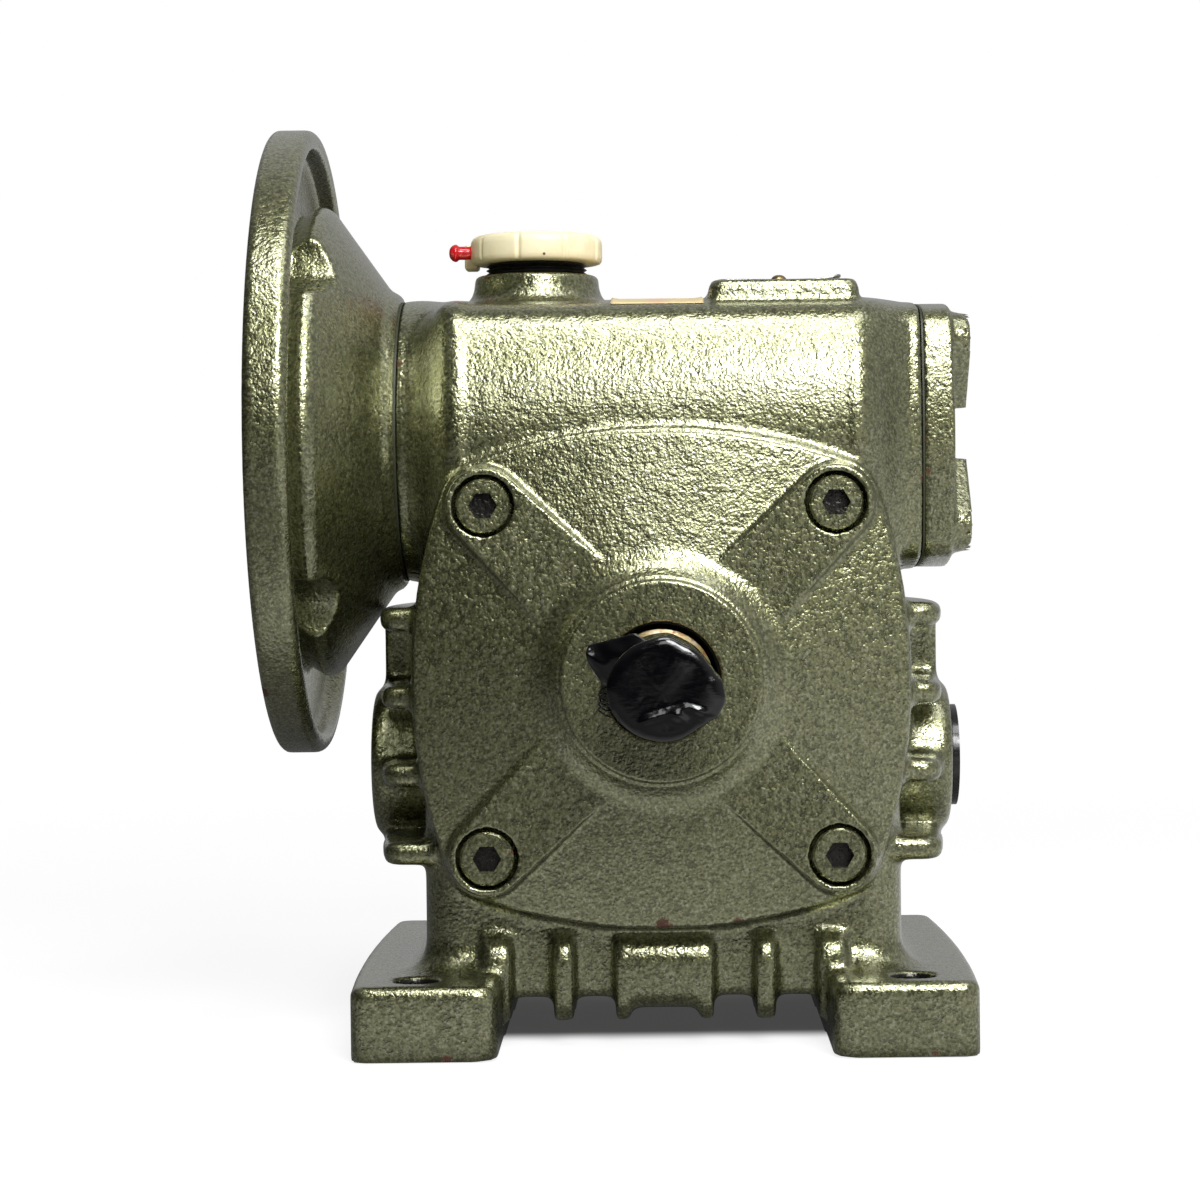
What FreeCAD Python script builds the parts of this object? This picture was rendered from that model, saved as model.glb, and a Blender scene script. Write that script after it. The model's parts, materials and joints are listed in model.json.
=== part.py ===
import FreeCAD
import Part
import math
import os
from FreeCAD import Placement, Rotation, Vector

# Worm gear reducer, millimetres, +Z up.
# The origin lies on the base plane, under the output axis, at the centre of the four foot bolts.
# The worm axis runs along X, the output axis along Y, and the output shaft points to -Y.

os.makedirs("parts", exist_ok=True)

# Gear pair
CENTRE_DISTANCE = 60.0
MODULE = 3.0
WHEEL_TEETH = 30
WORM_STARTS = 1
PRESSURE_ANGLE = 20.0
TOOTH_BACKLASH = 0.35
THREAD_BACKLASH = 0.25
DEDENDUM_FACTOR = 1.25
WHEEL_FACE_HALF = 9.0
WHEEL_OUTER_GROWTH = 1.6
THREAD_HALF_LENGTH = 29.0
THREAD_END_CHAMFER = 3.0

# Feet and foot bolts
FOOT_BOLT_X = 120.0
FOOT_BOLT_Y = 105.0
FOOT_HOLE = 11.0
FOOT_LENGTH = 130.0
FOOT_OUTER_X = 75.0
FOOT_INNER_X = 40.0
FOOT_BULGE = 2.0
FOOT_HEIGHT = 18.0
FOOT_CORNER = 4.0
FOOT_EDGE = 2.4
COVER_OVER_FEET = 12.0

# Casing
SIDE_FACE = 47.5
SEAT_RIM = 1.0
SIDE_DRAFT = 2.5
CHAMBER_R = 51.0
TUNNEL_R = 22.0
SKIRT_HALF_X = 59.0
SKIRT_HALF_Y = 42.0
SKIRT_CORNER = 9.0
SKIRT_COVE = 7.0
BELLY_Z = 11.7
SUMP_WALL = 5.3
SUMP_HALF_X = 45.0
SUMP_HALF_Y = 33.0
SUMP_CORNER = 6.0
MOTOR_FACE_X = -65.0
END_FACE_X = 65.5
HOUSING_HALF_Z = 35.5
HOUSING_HALF_Y = 46.0
HOUSING_TOP_R = 190.0
HOUSING_SIDE_R = 62.0
HOUSING_CORNER = 11.0
HOUSING_NECK_R = 36.0
NECK_RUN = 18.0
TAIL_RUN = 18.5
END_RIM = 3.0
END_RIM_STEP = 0.5
HOUSING_PINCH = 1.0

# Output covers
COVER_HALF = 60.0
COVER_SIDE_R = 135.0
COVER_CORNER = 10.0
COVER_BOLT_CIRCLE = 120.0
COVER_RIM = 5.2
COVER_CONE_R = 33.0
COVER_CONE_Z = 8.7
COVER_PAD_Z = 9.0
COVER_PAD_R = 9.0
COVER_PAD_SPREAD = 3.0
COVER_PAD_INNER = 27.0
COVER_BOSS_R = 24.8
COVER_BOSS_Z = 14.0
COVER_PAD_FLARE = 1.4
BOSS_EDGE = 0.7
SPIGOT_DEPTH = 4.5
CARRIER_R = 32.0
CARRIER_LIP = 1.0
SHAFT_WINDOW = 1.8
REAR_RECESS = 3.0
REAR_RECESS_GAP = 2.0

# Worm end cover
END_HALF = 33.8
END_SIDE_R = 120.0
END_CORNER = 8.0
END_BOLT_CIRCLE = 66.0
END_RIM_Z = 7.5
END_CONE_R = 17.0
END_CONE_Z = 8.6
END_PAD_Z = 12.0
END_PAD_R = 6.2
END_PAD_INNER = 16.0
END_BOSS_R = 11.0
END_BOSS_Z = 9.6
END_STUB_GAP = 5.0
END_STUB_RECESS = 3.0

# Motor flange
FLANGE_R = 80.0
FLANGE_DEPTH = 32.0
FLANGE_RIM = 10.5
FLANGE_LIP = 5.0
FLANGE_CHAMFER = 1.0
FLANGE_ROUND = 2.4
FLANGE_WEB = 5.5
FLANGE_BOLT_CIRCLE = 130.0
FLANGE_HOLE = 10.0
PILOT_R = 55.0
PILOT_DEPTH = 4.0
PILOT_CHAMFER = 0.6
BELL_CREST_R = 60.5
BELL_CREST_SET = 12.0
BELL_FOOT_R = 57.0
BELL_NECK_R = 38.0
BELL_COLLAR = 3.0
BELL_FLOOR_WALL = 6.5
BELL_FLOOR_R = 37.0
BELL_MOUTH_R = 49.5
BELL_MOUTH_DEPTH = 9.0
SCALLOP_R = 11.0
SCALLOP_DEPTH = 12.0
FLANGE_SCREW_CIRCLE = 62.0
MOTOR_SPIGOT_GAP = 4.0

# Shafts
OUTPUT_R = 11.0
OUTPUT_LENGTH = 50.0
OUTPUT_SEAL_R = 12.5
OUTPUT_KEY_WIDTH = 6.0
OUTPUT_KEY_DEPTH = 3.5
OUTPUT_KEY_LENGTH = 38.0
OUTPUT_KEY_SET = 4.0
OUTPUT_KEY_ANGLE = 60.0
HUB_SEAT_R = 15.0
HUB_HALF = 15.0
HUB_R = 23.0
HUB_WEB_HALF = 5.0
SHAFT_COLLAR_R = 17.0
WHEEL_KEY_WIDTH = 8.0
WHEEL_KEY_HEIGHT = 7.0
WHEEL_KEY_LENGTH = 24.0
WHEEL_KEY_DEPTH = 4.0
WHEEL_KEY_TOP_GAP = 0.2
RIM_BORE_R = 33.0
HUB_FLANGE = 4.0
RIM_SCREWS = 4
RIM_SCREW_R = 2.5
INPUT_BORE_R = 7.0
INPUT_BORE_DEPTH = 35.0
INPUT_KEY_WIDTH = 5.0
INPUT_KEY_TOP = 9.3
QUILL_SET = 6.0
WORM_SHOULDER_R = 16.0
WORM_STUB_R = 10.0
WORM_STUB_SHOULDER_R = 13.5
SHAFT_CHAMFER = 1.0

# Taper roller bearings
BEARING_WIDTH = 16.0
BEARING_TILT = 12.0
BEARING_ROLLERS = 12
BEARING_ROLLER_LENGTH = 10.0
BEARING_CUP_START = 3.0
BEARING_CONE_WIDTH = 15.0
BEARING_RIB = 1.8
BEARING_RIB_HEIGHT = 2.2
CAGE_THICKNESS = 0.8
CAGE_OFFSET = 0.1
CAGE_BORDER = 1.2
POCKET_SIDE_GAP = 0.15
POCKET_END_GAP = 0.2
BEARING_BORE = 25.0
BEARING_OUTER = 52.0
END_BEARING_BORE = 20.0
END_BEARING_OUTER = 47.0
SIDE_BEARING_INSET = 0.5
MOTOR_SPIGOT = 3.0
END_SPIGOT = 5.5

# Seals, gaskets and clearances
SEAL_WIDTH = 7.0
OUTPUT_SEAL_OUTER = 47.0
INPUT_SEAL_OUTER = 40.0
SEAL_SHOULDER = 2.0
SEAL_SHELL = 2.0
SEAL_SPRING_WIDTH = 2.4
SEAL_LIP_GAP = 0.05
ROLLER_GAP = 0.06
GASKET = 0.5
FIT_GAP = 0.1
RUN_GAP = 0.05
BOLT_HOLE_GAP = 0.3
COUNTERBORE_GAP = 1.0

# Cuts run past a face by OVERRUN, and joined bodies reach into each other by BITE
OVERRUN = 1.0
BITE = 0.5
BIG = 400.0

# Fasteners
COVER_BOLT = {"r": 4.0, "head_r": 6.5, "head": 5.5, "hex": 6.0, "thread": 14.0, "socket": 3.2}
SMALL_BOLT = {"r": 3.0, "head_r": 5.0, "head": 6.0, "hex": 5.0, "thread": 11.0, "socket": 3.0}
TAP_EXTRA = 2.0
HEAD_CHAMFER = 0.5
PLUG_R = 8.0
PLUG_LENGTH = 11.0
PLUG_HEX = 8.0
PLUG_SOCKET = 6.0
PLUG_SUNK = 0.6
DRAIN_RISE = 1.5
DRAIN_R = 5.0
DRAIN_BOSS_R = 9.5
DRAIN_WASHER_R = 8.0
DRAIN_HEX = 13.0
DRAIN_HEAD = 5.0
WASHER = 1.2

# Cooling fins and ribs
FIN_COUNT = 4
FIN_TOP_RISE = 14.9
FIN_PITCH = 19.2
FIN_THICKNESS = 6.0
FIN_DEPTH = 12.5
FIN_BOW = 3.0
FIN_HALF_Y = 41.0
FIN_END_R = 4.5
FIN_EDGE = 2.0
FIN_WEB = 7.0
FIN_WEB_SET = 0.3
FIN_ROOT = 6.0
LEVEL_DROP = 22.5
LEVEL_BOSS_R = 19.0
LEVEL_PROUD = 2.5
LEVEL_EDGE = 1.5
RIB_DROP = 5.5
RIB_RISE = 15.3
RIB_INSET = 1.0
RIB_X = 24.7
RIB_WIDTH = 5.0
EDGE_RIB_X = 41.0
EDGE_RIB_WIDTH = 7.0
PANEL_HALF = 12.0
PANEL_DROP = 2.5
PANEL_RIB_WIDTH = 3.6

# Filler, sight glass, nameplate
FILLER_X = -31.0
FILLER_R = 16.0
FILLER_RISE = 6.8
FILLER_FLARE = 8.0
FILLER_BORE_R = 10.0
CAP_R = 17.0
CAP_HEIGHT = 7.2
CAP_LOBES = 8
CAP_TURN = 34.6
CAP_EDGE = 0.6
CAP_ROUND = 2.0
CAP_DISC_R = 10.5
CAP_DISC = 0.4
CAP_LUG_REACH = 2.4
CAP_LUG_LOW_Y = 1.5
CAP_LUG_WIDTH = 6.0
CAP_GROOVE_R = 1.2
CAP_SHANK = 10.0
FILLER_GASKET_R = 13.0
FILLER_GASKET = 3.1
GASKET_RIBS = 3
GASKET_RIB = 0.9
VENT_R = 1.7
VENT_FLANGE_R = 2.5
VENT_LENGTH = 6.2
VENT_PIN_R = 1.0
VENT_PIN = 2.5
VENT_Y = -2.0
VENT_NECK = 0.5
SIGHT_R = 13.0
SIGHT_BORE_R = 9.0
SIGHT_RIM = 1.6
SIGHT_LENS_R = 7.5
SIGHT_LENS = 2.7
SIGHT_SET = 1.6
SIGHT_GASKET = 0.4
SIGHT_WINDOW = 6.0
PAD_LOW_X = 12.2
PAD_HIGH_X = 50.9
PAD_HALF_Y = 31.0
PAD_RISE = 2.9
PAD_SLOPE = 1.6
PLATE_LOW_X = 15.2
PLATE_HIGH_X = 46.2
PLATE_HALF_Y = 25.0
PLATE_THICKNESS = 0.6
RIVET_R = 2.0
RIVET_PIN_R = 1.0
RIVET_DEPTH = 4.0
RIVET_INSET = 4.0
RIVET_HEAD = 1.1
PLATE_CORNER = 2.5

# Tape that protects the output shaft
TAPE_THICKNESS = 0.5
TAPE_BARE = 4.0
TAPE_END_SKIN = 0.8
TAPE_EDGE = 0.9
TAPE_FLAP_R = 16.6
TAPE_FLAP_ANGLE = 145.0
TAPE_FLAP_ROUND = 2.0
TAPE_FLAP_SPREAD = 14.0
TAPE_FOLD_R = 13.9
TAPE_FOLD_ANGLE = -8.0
TAPE_FOLD_ROUND = 5.0
TAPE_LAP = 24.0
TAPE_LAP_SET = 8.0

# Derived sizes
OUTPUT_HEIGHT = FOOT_HEIGHT + COVER_OVER_FEET + COVER_HALF
WORM_Z = OUTPUT_HEIGHT + CENTRE_DISTANCE
WHEEL_PITCH_R = MODULE * WHEEL_TEETH / 2
WORM_PITCH_R = CENTRE_DISTANCE - WHEEL_PITCH_R
LEAD = math.pi * MODULE * WORM_STARTS
WORM_TIP_R = WORM_PITCH_R + MODULE
WORM_ROOT_R = WORM_PITCH_R - DEDENDUM_FACTOR * MODULE
WHEEL_THROAT_R = WHEEL_PITCH_R + MODULE
WHEEL_ROOT_R = WHEEL_PITCH_R - DEDENDUM_FACTOR * MODULE
WHEEL_OUTER_R = WHEEL_THROAT_R + WHEEL_OUTER_GROWTH
LEAD_ANGLE = math.atan2(LEAD, 2 * math.pi * WORM_PITCH_R)
COVER_FACE = SIDE_FACE + GASKET
BOSS_FACE = COVER_FACE + COVER_BOSS_Z
OUTPUT_END = BOSS_FACE + OUTPUT_LENGTH
SIDE_BEARING_START = SIDE_FACE - BEARING_WIDTH - SIDE_BEARING_INSET
MOTOR_BEARING_START = -MOTOR_FACE_X - BEARING_WIDTH - MOTOR_SPIGOT
END_BEARING_START = END_FACE_X - BEARING_WIDTH - END_SPIGOT
OUTPUT_SEAL_START = SIDE_BEARING_START + BEARING_WIDTH + SEAL_SHOULDER
FLANGE_FACE_X = MOTOR_FACE_X - FLANGE_DEPTH
HOUSING_RUN_LEFT = MOTOR_FACE_X + NECK_RUN
HOUSING_RUN_RIGHT = END_FACE_X - TAIL_RUN
SUMP_FLOOR_Z = BELLY_Z + SUMP_WALL
RIB_OUT_Y = SIDE_FACE - RIB_INSET
DRAIN_Z = FOOT_HEIGHT + DRAIN_RISE
FIN_TOP_Z = OUTPUT_HEIGHT + FIN_TOP_RISE
FIN_REACH = SKIRT_HALF_X + FIN_DEPTH
LEVEL_Z = OUTPUT_HEIGHT - LEVEL_DROP
LEVEL_FACE_X = FIN_REACH + LEVEL_PROUD
HOUSING_TOP_Z = WORM_Z + HOUSING_HALF_Z
TAN_PRESSURE = math.tan(math.radians(PRESSURE_ANGLE))
SHAFT_WINDOW_R = OUTPUT_SEAL_R + SHAFT_WINDOW
FILLER_TOP_Z = HOUSING_TOP_Z + FILLER_RISE
PAD_TOP_Z = HOUSING_TOP_Z + PAD_RISE
CAP_SEAT_Z = FILLER_TOP_Z + FILLER_GASKET


def frame_at(height, turn, offset=0.0):
    """Local frame whose z points out of the casing: -Y for turn 0, then turned about +Z."""
    rotation = Rotation(Vector(0, 0, 1), turn).multiply(Rotation(Vector(1, 0, 0), 90))
    out = rotation.multVec(Vector(0, 0, offset))
    return Placement(Vector(0, 0, height) + out, rotation)


def front_at(offset=0.0):
    return frame_at(OUTPUT_HEIGHT, 0, offset)


def rear_at(offset=0.0):
    return frame_at(OUTPUT_HEIGHT, 180, offset)


def motor_at(offset=0.0):
    return frame_at(WORM_Z, -90, offset)


def end_at(offset=0.0):
    return frame_at(WORM_Z, 90, offset)


def placed(shape, frame):
    copy = shape.copy()
    copy.Placement = frame.multiply(copy.Placement)
    return copy


def save(name, shape):
    if isinstance(shape, (list, tuple)):
        shape = Part.makeCompound(list(shape))
    elif len(shape.Solids) == 1:
        shape = shape.Solids[0]
    shape.exportStep("parts/" + name + ".step")


def rod(r, z0, z1, x=0.0, y=0.0):
    return Part.makeCylinder(r, z1 - z0, Vector(x, y, z0), Vector(0, 0, 1))


def tube(r_in, r_out, z0, z1):
    return rod(r_out, z0, z1).cut(rod(r_in, z0 - OVERRUN, z1 + OVERRUN))


def block(x0, x1, y0, y1, z0, z1):
    return Part.makeBox(x1 - x0, y1 - y0, z1 - z0, Vector(x0, y0, z0))


def turned(points):
    """Solid of revolution about local z from (z, r) points; a third item makes an arc through it."""
    corners = [Vector(p[1], 0, p[0]) for p in points]
    edges = []
    for i, point in enumerate(points):
        start = corners[i]
        stop = corners[(i + 1) % len(points)]
        if len(point) > 2:
            middle = Vector(point[2][1], 0, point[2][0])
            edges.append(Part.Arc(start, middle, stop).toShape())
        else:
            edges.append(Part.makeLine(start, stop))
    solid = Part.Face(Part.Wire(edges)).revolve(Vector(0, 0, 0), Vector(0, 0, 1), 360)
    if solid.Volume < 0:
        solid.reverse()
    return solid


def pillow(half_x, half_y, top_r, side_r, corner_r, z):
    """Closed wire of eight arcs: four shallow sides and four round corners, tangent all round."""
    a = side_r - half_x
    b = top_r - half_y
    reach_side = side_r - corner_r
    reach_top = top_r - corner_r
    m = a / b
    k = (a * a + b * b - reach_side ** 2 + reach_top ** 2) / (2 * b)
    root = math.sqrt((m * k) ** 2 - (1 + m * m) * (k * k - reach_top ** 2))
    cx = (root - m * k) / (1 + m * m)
    cy = m * cx + k - b
    top = Vector(cx, cy + b, 0).normalize() * top_r - Vector(0, b, 0)
    side = Vector(cx + a, cy, 0).normalize() * side_r - Vector(a, 0, 0)
    corner = Vector(cx, cy, 0)
    mid = corner + (top + side - corner * 2).normalize() * corner_r
    return eight_arcs(top, mid, side, half_x, half_y, z)


def circle8(r, top, side, z):
    """Circle cut at the same eight directions as a pillow wire, so the two can be lofted."""
    top = Vector(top.x, top.y, 0).normalize() * r
    side = Vector(side.x, side.y, 0).normalize() * r
    mid = Vector(top.x + side.x, top.y + side.y, 0).normalize() * r
    return eight_arcs(top, mid, side, r, r, z)


def eight_arcs(top, mid, side, half_x, half_y, z):
    def corner(sx, sy):
        points = [Vector(sx * p.x, sy * p.y, z) for p in (top, mid, side)]
        return points if sx * sy > 0 else points[::-1]

    quarters = [corner(1, 1), corner(1, -1), corner(-1, -1), corner(-1, 1)]
    between = [Vector(half_x, 0, z), Vector(0, -half_y, z), Vector(-half_x, 0, z), Vector(0, half_y, z)]
    edges = []
    for i, points in enumerate(quarters):
        edges.append(Part.Arc(points[0], points[1], points[2]).toShape())
        edges.append(Part.Arc(points[2], between[i], quarters[(i + 1) % 4][0]).toShape())
    return Part.Wire(edges)


def square_pillow(half, side_r, corner_r, z):
    return pillow(half, half, side_r, side_r, corner_r, z)


def prism(wire, depth):
    return Part.Face(wire).extrude(Vector(0, 0, depth))


def rounded_box(half_x, half_y, corner, z0, z1):
    box = block(-half_x, half_x, -half_y, half_y, z0, z1)
    upright = [e for e in box.Edges if abs(e.tangentAt(e.FirstParameter).z) > 0.9]
    return box.makeFillet(corner, upright)


def around(count, radius, start_deg=45.0):
    points = []
    for i in range(count):
        angle = math.radians(start_deg + 360.0 * i / count)
        points.append((radius * math.cos(angle), radius * math.sin(angle)))
    return points


def hexagon(across, z0, z1, x=0.0, y=0.0):
    r = across / math.sqrt(3)
    points = [Vector(x + r * math.cos(math.radians(60 * i)), y + r * math.sin(math.radians(60 * i)), z0)
              for i in range(7)]
    return Part.Face(Part.makePolygon(points)).extrude(Vector(0, 0, z1 - z0))


def cap_screw(bolt, seat_z, tip_z, x, y):
    """Hexagon socket screw: the head sits on seat_z, the shank ends at tip_z."""
    head = rod(bolt["head_r"], seat_z, seat_z + bolt["head"], x, y)
    rim = max(head.Edges, key=lambda e: e.BoundBox.ZMin)
    head = head.makeChamfer(HEAD_CHAMFER, [rim])
    shank = rod(bolt["r"], tip_z, seat_z + BITE, x, y)
    top = seat_z + bolt["head"]
    socket = hexagon(bolt["hex"], top - bolt["socket"], top + OVERRUN, x, y)
    return head.fuse(shank).removeSplitter().cut(socket)


def tapered_pad(pad_r, bolt_r, inner, spread, z, grow):
    """Wire of one radial pad along local +x: round at the bolt, widening to the centre."""
    slope = math.tan(math.radians(spread))
    cos_s = math.cos(math.radians(spread))
    sin_s = math.sin(math.radians(spread))
    r = pad_r + grow
    near_x = bolt_r + r * sin_s
    near_y = r * cos_s
    wide_y = near_y + (near_x - inner) * slope
    a = Vector(inner, -wide_y, z)
    b = Vector(near_x, -near_y, z)
    c = Vector(bolt_r + r, 0, z)
    d = Vector(near_x, near_y, z)
    e = Vector(inner, wide_y, z)
    return bowed_outline(a, b, c, d, e)


def crowned_cover(half, side_r, corner_r, bolt_circle, rim_z, cone, pad, boss, bolt):
    """Cover with a rim of height rim_z at its side middles, a cone, four pads and a boss, local z outward."""
    cone_r, cone_z = cone
    pad_r, pad_z, pad_inner, spread = pad
    boss_r, boss_z = boss
    far = half * math.sqrt(2)
    far_z = rim_z - (far - half) * (cone_z - rim_z) / (half - cone_r)
    bend_r = boss_r + (cone_r - boss_r) * 0.42
    bend_z = cone_z + (boss_z - cone_z) * 0.3
    surface = turned([
        (0, 0), (0, far), (far_z, far), (cone_z, cone_r, (bend_z, bend_r)),
        (boss_z - BOSS_EDGE, boss_r), (boss_z, boss_r - BOSS_EDGE), (boss_z, 0),
    ])
    outline = prism(square_pillow(half, side_r, corner_r, 0), boss_z + pad_z)
    body = outline.common(surface)
    for turn in (45, 135, 225, 315):
        low = tapered_pad(pad_r, bolt_circle / 2, pad_inner, spread, rim_z / 2, COVER_PAD_FLARE)
        high = tapered_pad(pad_r, bolt_circle / 2, pad_inner, spread, pad_z, 0.0)
        one = Part.makeLoft([low, high], True, True)
        one.rotate(Vector(0, 0, 0), Vector(0, 0, 1), turn)
        body = body.fuse(one)
    body = body.common(outline)
    for x, y in around(4, bolt_circle / 2):
        body = body.cut(rod(bolt["r"] + BOLT_HOLE_GAP, -OVERRUN, BIG, x, y))
        body = body.cut(rod(bolt["head_r"] + COUNTERBORE_GAP, pad_z - bolt["head"], BIG, x, y))
    return body.removeSplitter()


def output_cover(open_for_shaft):
    """Output side cover with spigot and bearing carrier; z = 0 is its sealing face."""
    body = crowned_cover(
        COVER_HALF, COVER_SIDE_R, COVER_CORNER, COVER_BOLT_CIRCLE, COVER_RIM,
        (COVER_CONE_R, COVER_CONE_Z),
        (COVER_PAD_R, COVER_PAD_Z, COVER_PAD_INNER, COVER_PAD_SPREAD),
        (COVER_BOSS_R, COVER_BOSS_Z), COVER_BOLT)
    carrier_z = SIDE_BEARING_START - CARRIER_LIP - COVER_FACE
    shoulder_z = SIDE_BEARING_START + BEARING_WIDTH - COVER_FACE
    seal_z = OUTPUT_SEAL_START - COVER_FACE
    body = body.fuse(rod(CHAMBER_R - FIT_GAP, -SPIGOT_DEPTH, BITE))
    body = body.fuse(rod(CARRIER_R, carrier_z, BITE))
    body = body.cut(rod(BEARING_OUTER / 2, carrier_z - OVERRUN, shoulder_z))
    if open_for_shaft:
        body = body.cut(rod(OUTPUT_SEAL_OUTER / 2, shoulder_z - OVERRUN, seal_z + SEAL_WIDTH))
        body = body.cut(rod(SHAFT_WINDOW_R, 0, BIG))
    else:
        body = body.cut(rod(OUTPUT_SEAL_R + REAR_RECESS_GAP, shoulder_z - OVERRUN, seal_z + REAR_RECESS))
    return body.removeSplitter()


def cover_bolts(bolt, bolt_circle, pad_z):
    seat = pad_z - bolt["head"]
    return [cap_screw(bolt, seat, -GASKET - bolt["thread"], x, y) for x, y in around(4, bolt_circle / 2)]


def sheet_gasket(outline, bore_r, bolt, bolt_circle):
    gasket = prism(outline, GASKET).cut(rod(bore_r, -OVERRUN, GASKET + OVERRUN))
    for x, y in around(4, bolt_circle / 2):
        gasket = gasket.cut(rod(bolt["r"] + BOLT_HOLE_GAP, -OVERRUN, GASKET + OVERRUN, x, y))
    return gasket


def make_output_covers():
    for side, at in (("front", front_at), ("rear", rear_at)):
        save(side + "_cover", placed(output_cover(side == "front"), at(COVER_FACE)))
        bolts = cover_bolts(COVER_BOLT, COVER_BOLT_CIRCLE, COVER_PAD_Z)
        save(side + "_cover_bolts", [placed(b, at(COVER_FACE)) for b in bolts])
        wire = square_pillow(COVER_HALF, COVER_SIDE_R, COVER_CORNER, 0)
        gasket = sheet_gasket(wire, CHAMBER_R, COVER_BOLT, COVER_BOLT_CIRCLE)
        save(side + "_gasket", placed(gasket, at(SIDE_FACE)))


def make_end_cover():
    face = END_FACE_X + GASKET
    body = crowned_cover(
        END_HALF, END_SIDE_R, END_CORNER, END_BOLT_CIRCLE, END_RIM_Z,
        (END_CONE_R, END_CONE_Z), (END_PAD_R, END_PAD_Z, END_PAD_INNER, COVER_PAD_SPREAD),
        (END_BOSS_R, END_BOSS_Z), SMALL_BOLT)
    spigot_z = END_BEARING_START + BEARING_WIDTH - face
    body = body.fuse(rod(END_BEARING_OUTER / 2 - FIT_GAP, spigot_z, BITE))
    body = body.cut(rod(END_BEARING_BORE / 2 + END_STUB_GAP, spigot_z - OVERRUN, END_STUB_RECESS))
    save("end_cover", placed(body.removeSplitter(), end_at(face)))
    bolts = cover_bolts(SMALL_BOLT, END_BOLT_CIRCLE, END_PAD_Z)
    save("end_cover_bolts", [placed(b, end_at(face)) for b in bolts])
    wire = square_pillow(END_HALF, END_SIDE_R, END_CORNER, 0)
    gasket = sheet_gasket(wire, END_BEARING_OUTER / 2, SMALL_BOLT, END_BOLT_CIRCLE)
    save("end_gasket", placed(gasket, end_at(END_FACE_X)))


def make_motor_flange():
    """Bell between the casing and a motor: rim with lip, deep pocket, lobed cone, pilot recess."""
    base = -MOTOR_FACE_X + GASKET
    face = -FLANGE_FACE_X - base
    crest = face - BELL_CREST_SET
    floor = BELL_FLOOR_WALL
    web = face - FLANGE_WEB
    rim_back = face - FLANGE_RIM
    lip_in = FLANGE_R - FLANGE_LIP
    c = FLANGE_CHAMFER
    r = FLANGE_ROUND
    body = turned([
        (0, 0), (0, BELL_NECK_R - c), (c, BELL_NECK_R), (BELL_COLLAR, BELL_NECK_R + c),
        (crest - r, BELL_CREST_R - 0.6 * r, (crest - 0.2 * r, BELL_CREST_R - 0.1 * r)),
        (crest + c, BELL_CREST_R), (web, BELL_FOOT_R),
        (web, lip_in - c), (rim_back + c, lip_in), (rim_back, lip_in + c),
        (rim_back, FLANGE_R - r, (rim_back + 0.3 * r, FLANGE_R - 0.3 * r)), (rim_back + r, FLANGE_R),
        (face - c, FLANGE_R), (face, FLANGE_R - c), (face, 0),
    ])
    inside = turned([
        (floor, 0), (floor, BELL_FLOOR_R), (face - BELL_MOUTH_DEPTH, BELL_MOUTH_R),
        (face - PILOT_DEPTH, BELL_MOUTH_R), (face - PILOT_DEPTH, PILOT_R), (face - PILOT_CHAMFER, PILOT_R),
        (face + OVERRUN, PILOT_R + PILOT_CHAMFER + OVERRUN), (face + OVERRUN, 0),
    ])
    body = body.cut(inside)
    spigot_z = MOTOR_BEARING_START + BEARING_WIDTH - base
    body = body.fuse(rod(BEARING_OUTER / 2 - FIT_GAP, spigot_z, BITE))
    body = body.cut(rod(BEARING_BORE / 2 + MOTOR_SPIGOT_GAP, spigot_z - OVERRUN, OVERRUN))
    body = body.cut(rod(INPUT_SEAL_OUTER / 2, -GASKET, floor + OVERRUN))
    for x, y in around(4, FLANGE_BOLT_CIRCLE / 2):
        body = body.cut(rod(FLANGE_HOLE / 2, -OVERRUN, BIG, x, y))
        body = body.cut(rod(SCALLOP_R, crest - SCALLOP_DEPTH, web, x, y))
    for x, y in around(4, FLANGE_SCREW_CIRCLE / 2):
        body = body.cut(rod(SMALL_BOLT["r"] + BOLT_HOLE_GAP, -OVERRUN, floor + OVERRUN, x, y))
    save("motor_flange", placed(body.removeSplitter(), motor_at(base)))
    bolts = [cap_screw(SMALL_BOLT, floor, -GASKET - SMALL_BOLT["thread"], x, y)
             for x, y in around(4, FLANGE_SCREW_CIRCLE / 2)]
    save("motor_flange_bolts", [placed(b, motor_at(base)) for b in bolts])
    ring = Part.Wire(Part.makeCircle(HOUSING_NECK_R))
    gasket = sheet_gasket(ring, BEARING_OUTER / 2, SMALL_BOLT, FLANGE_SCREW_CIRCLE)
    save("flange_gasket", placed(gasket, motor_at(-MOTOR_FACE_X)))


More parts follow.
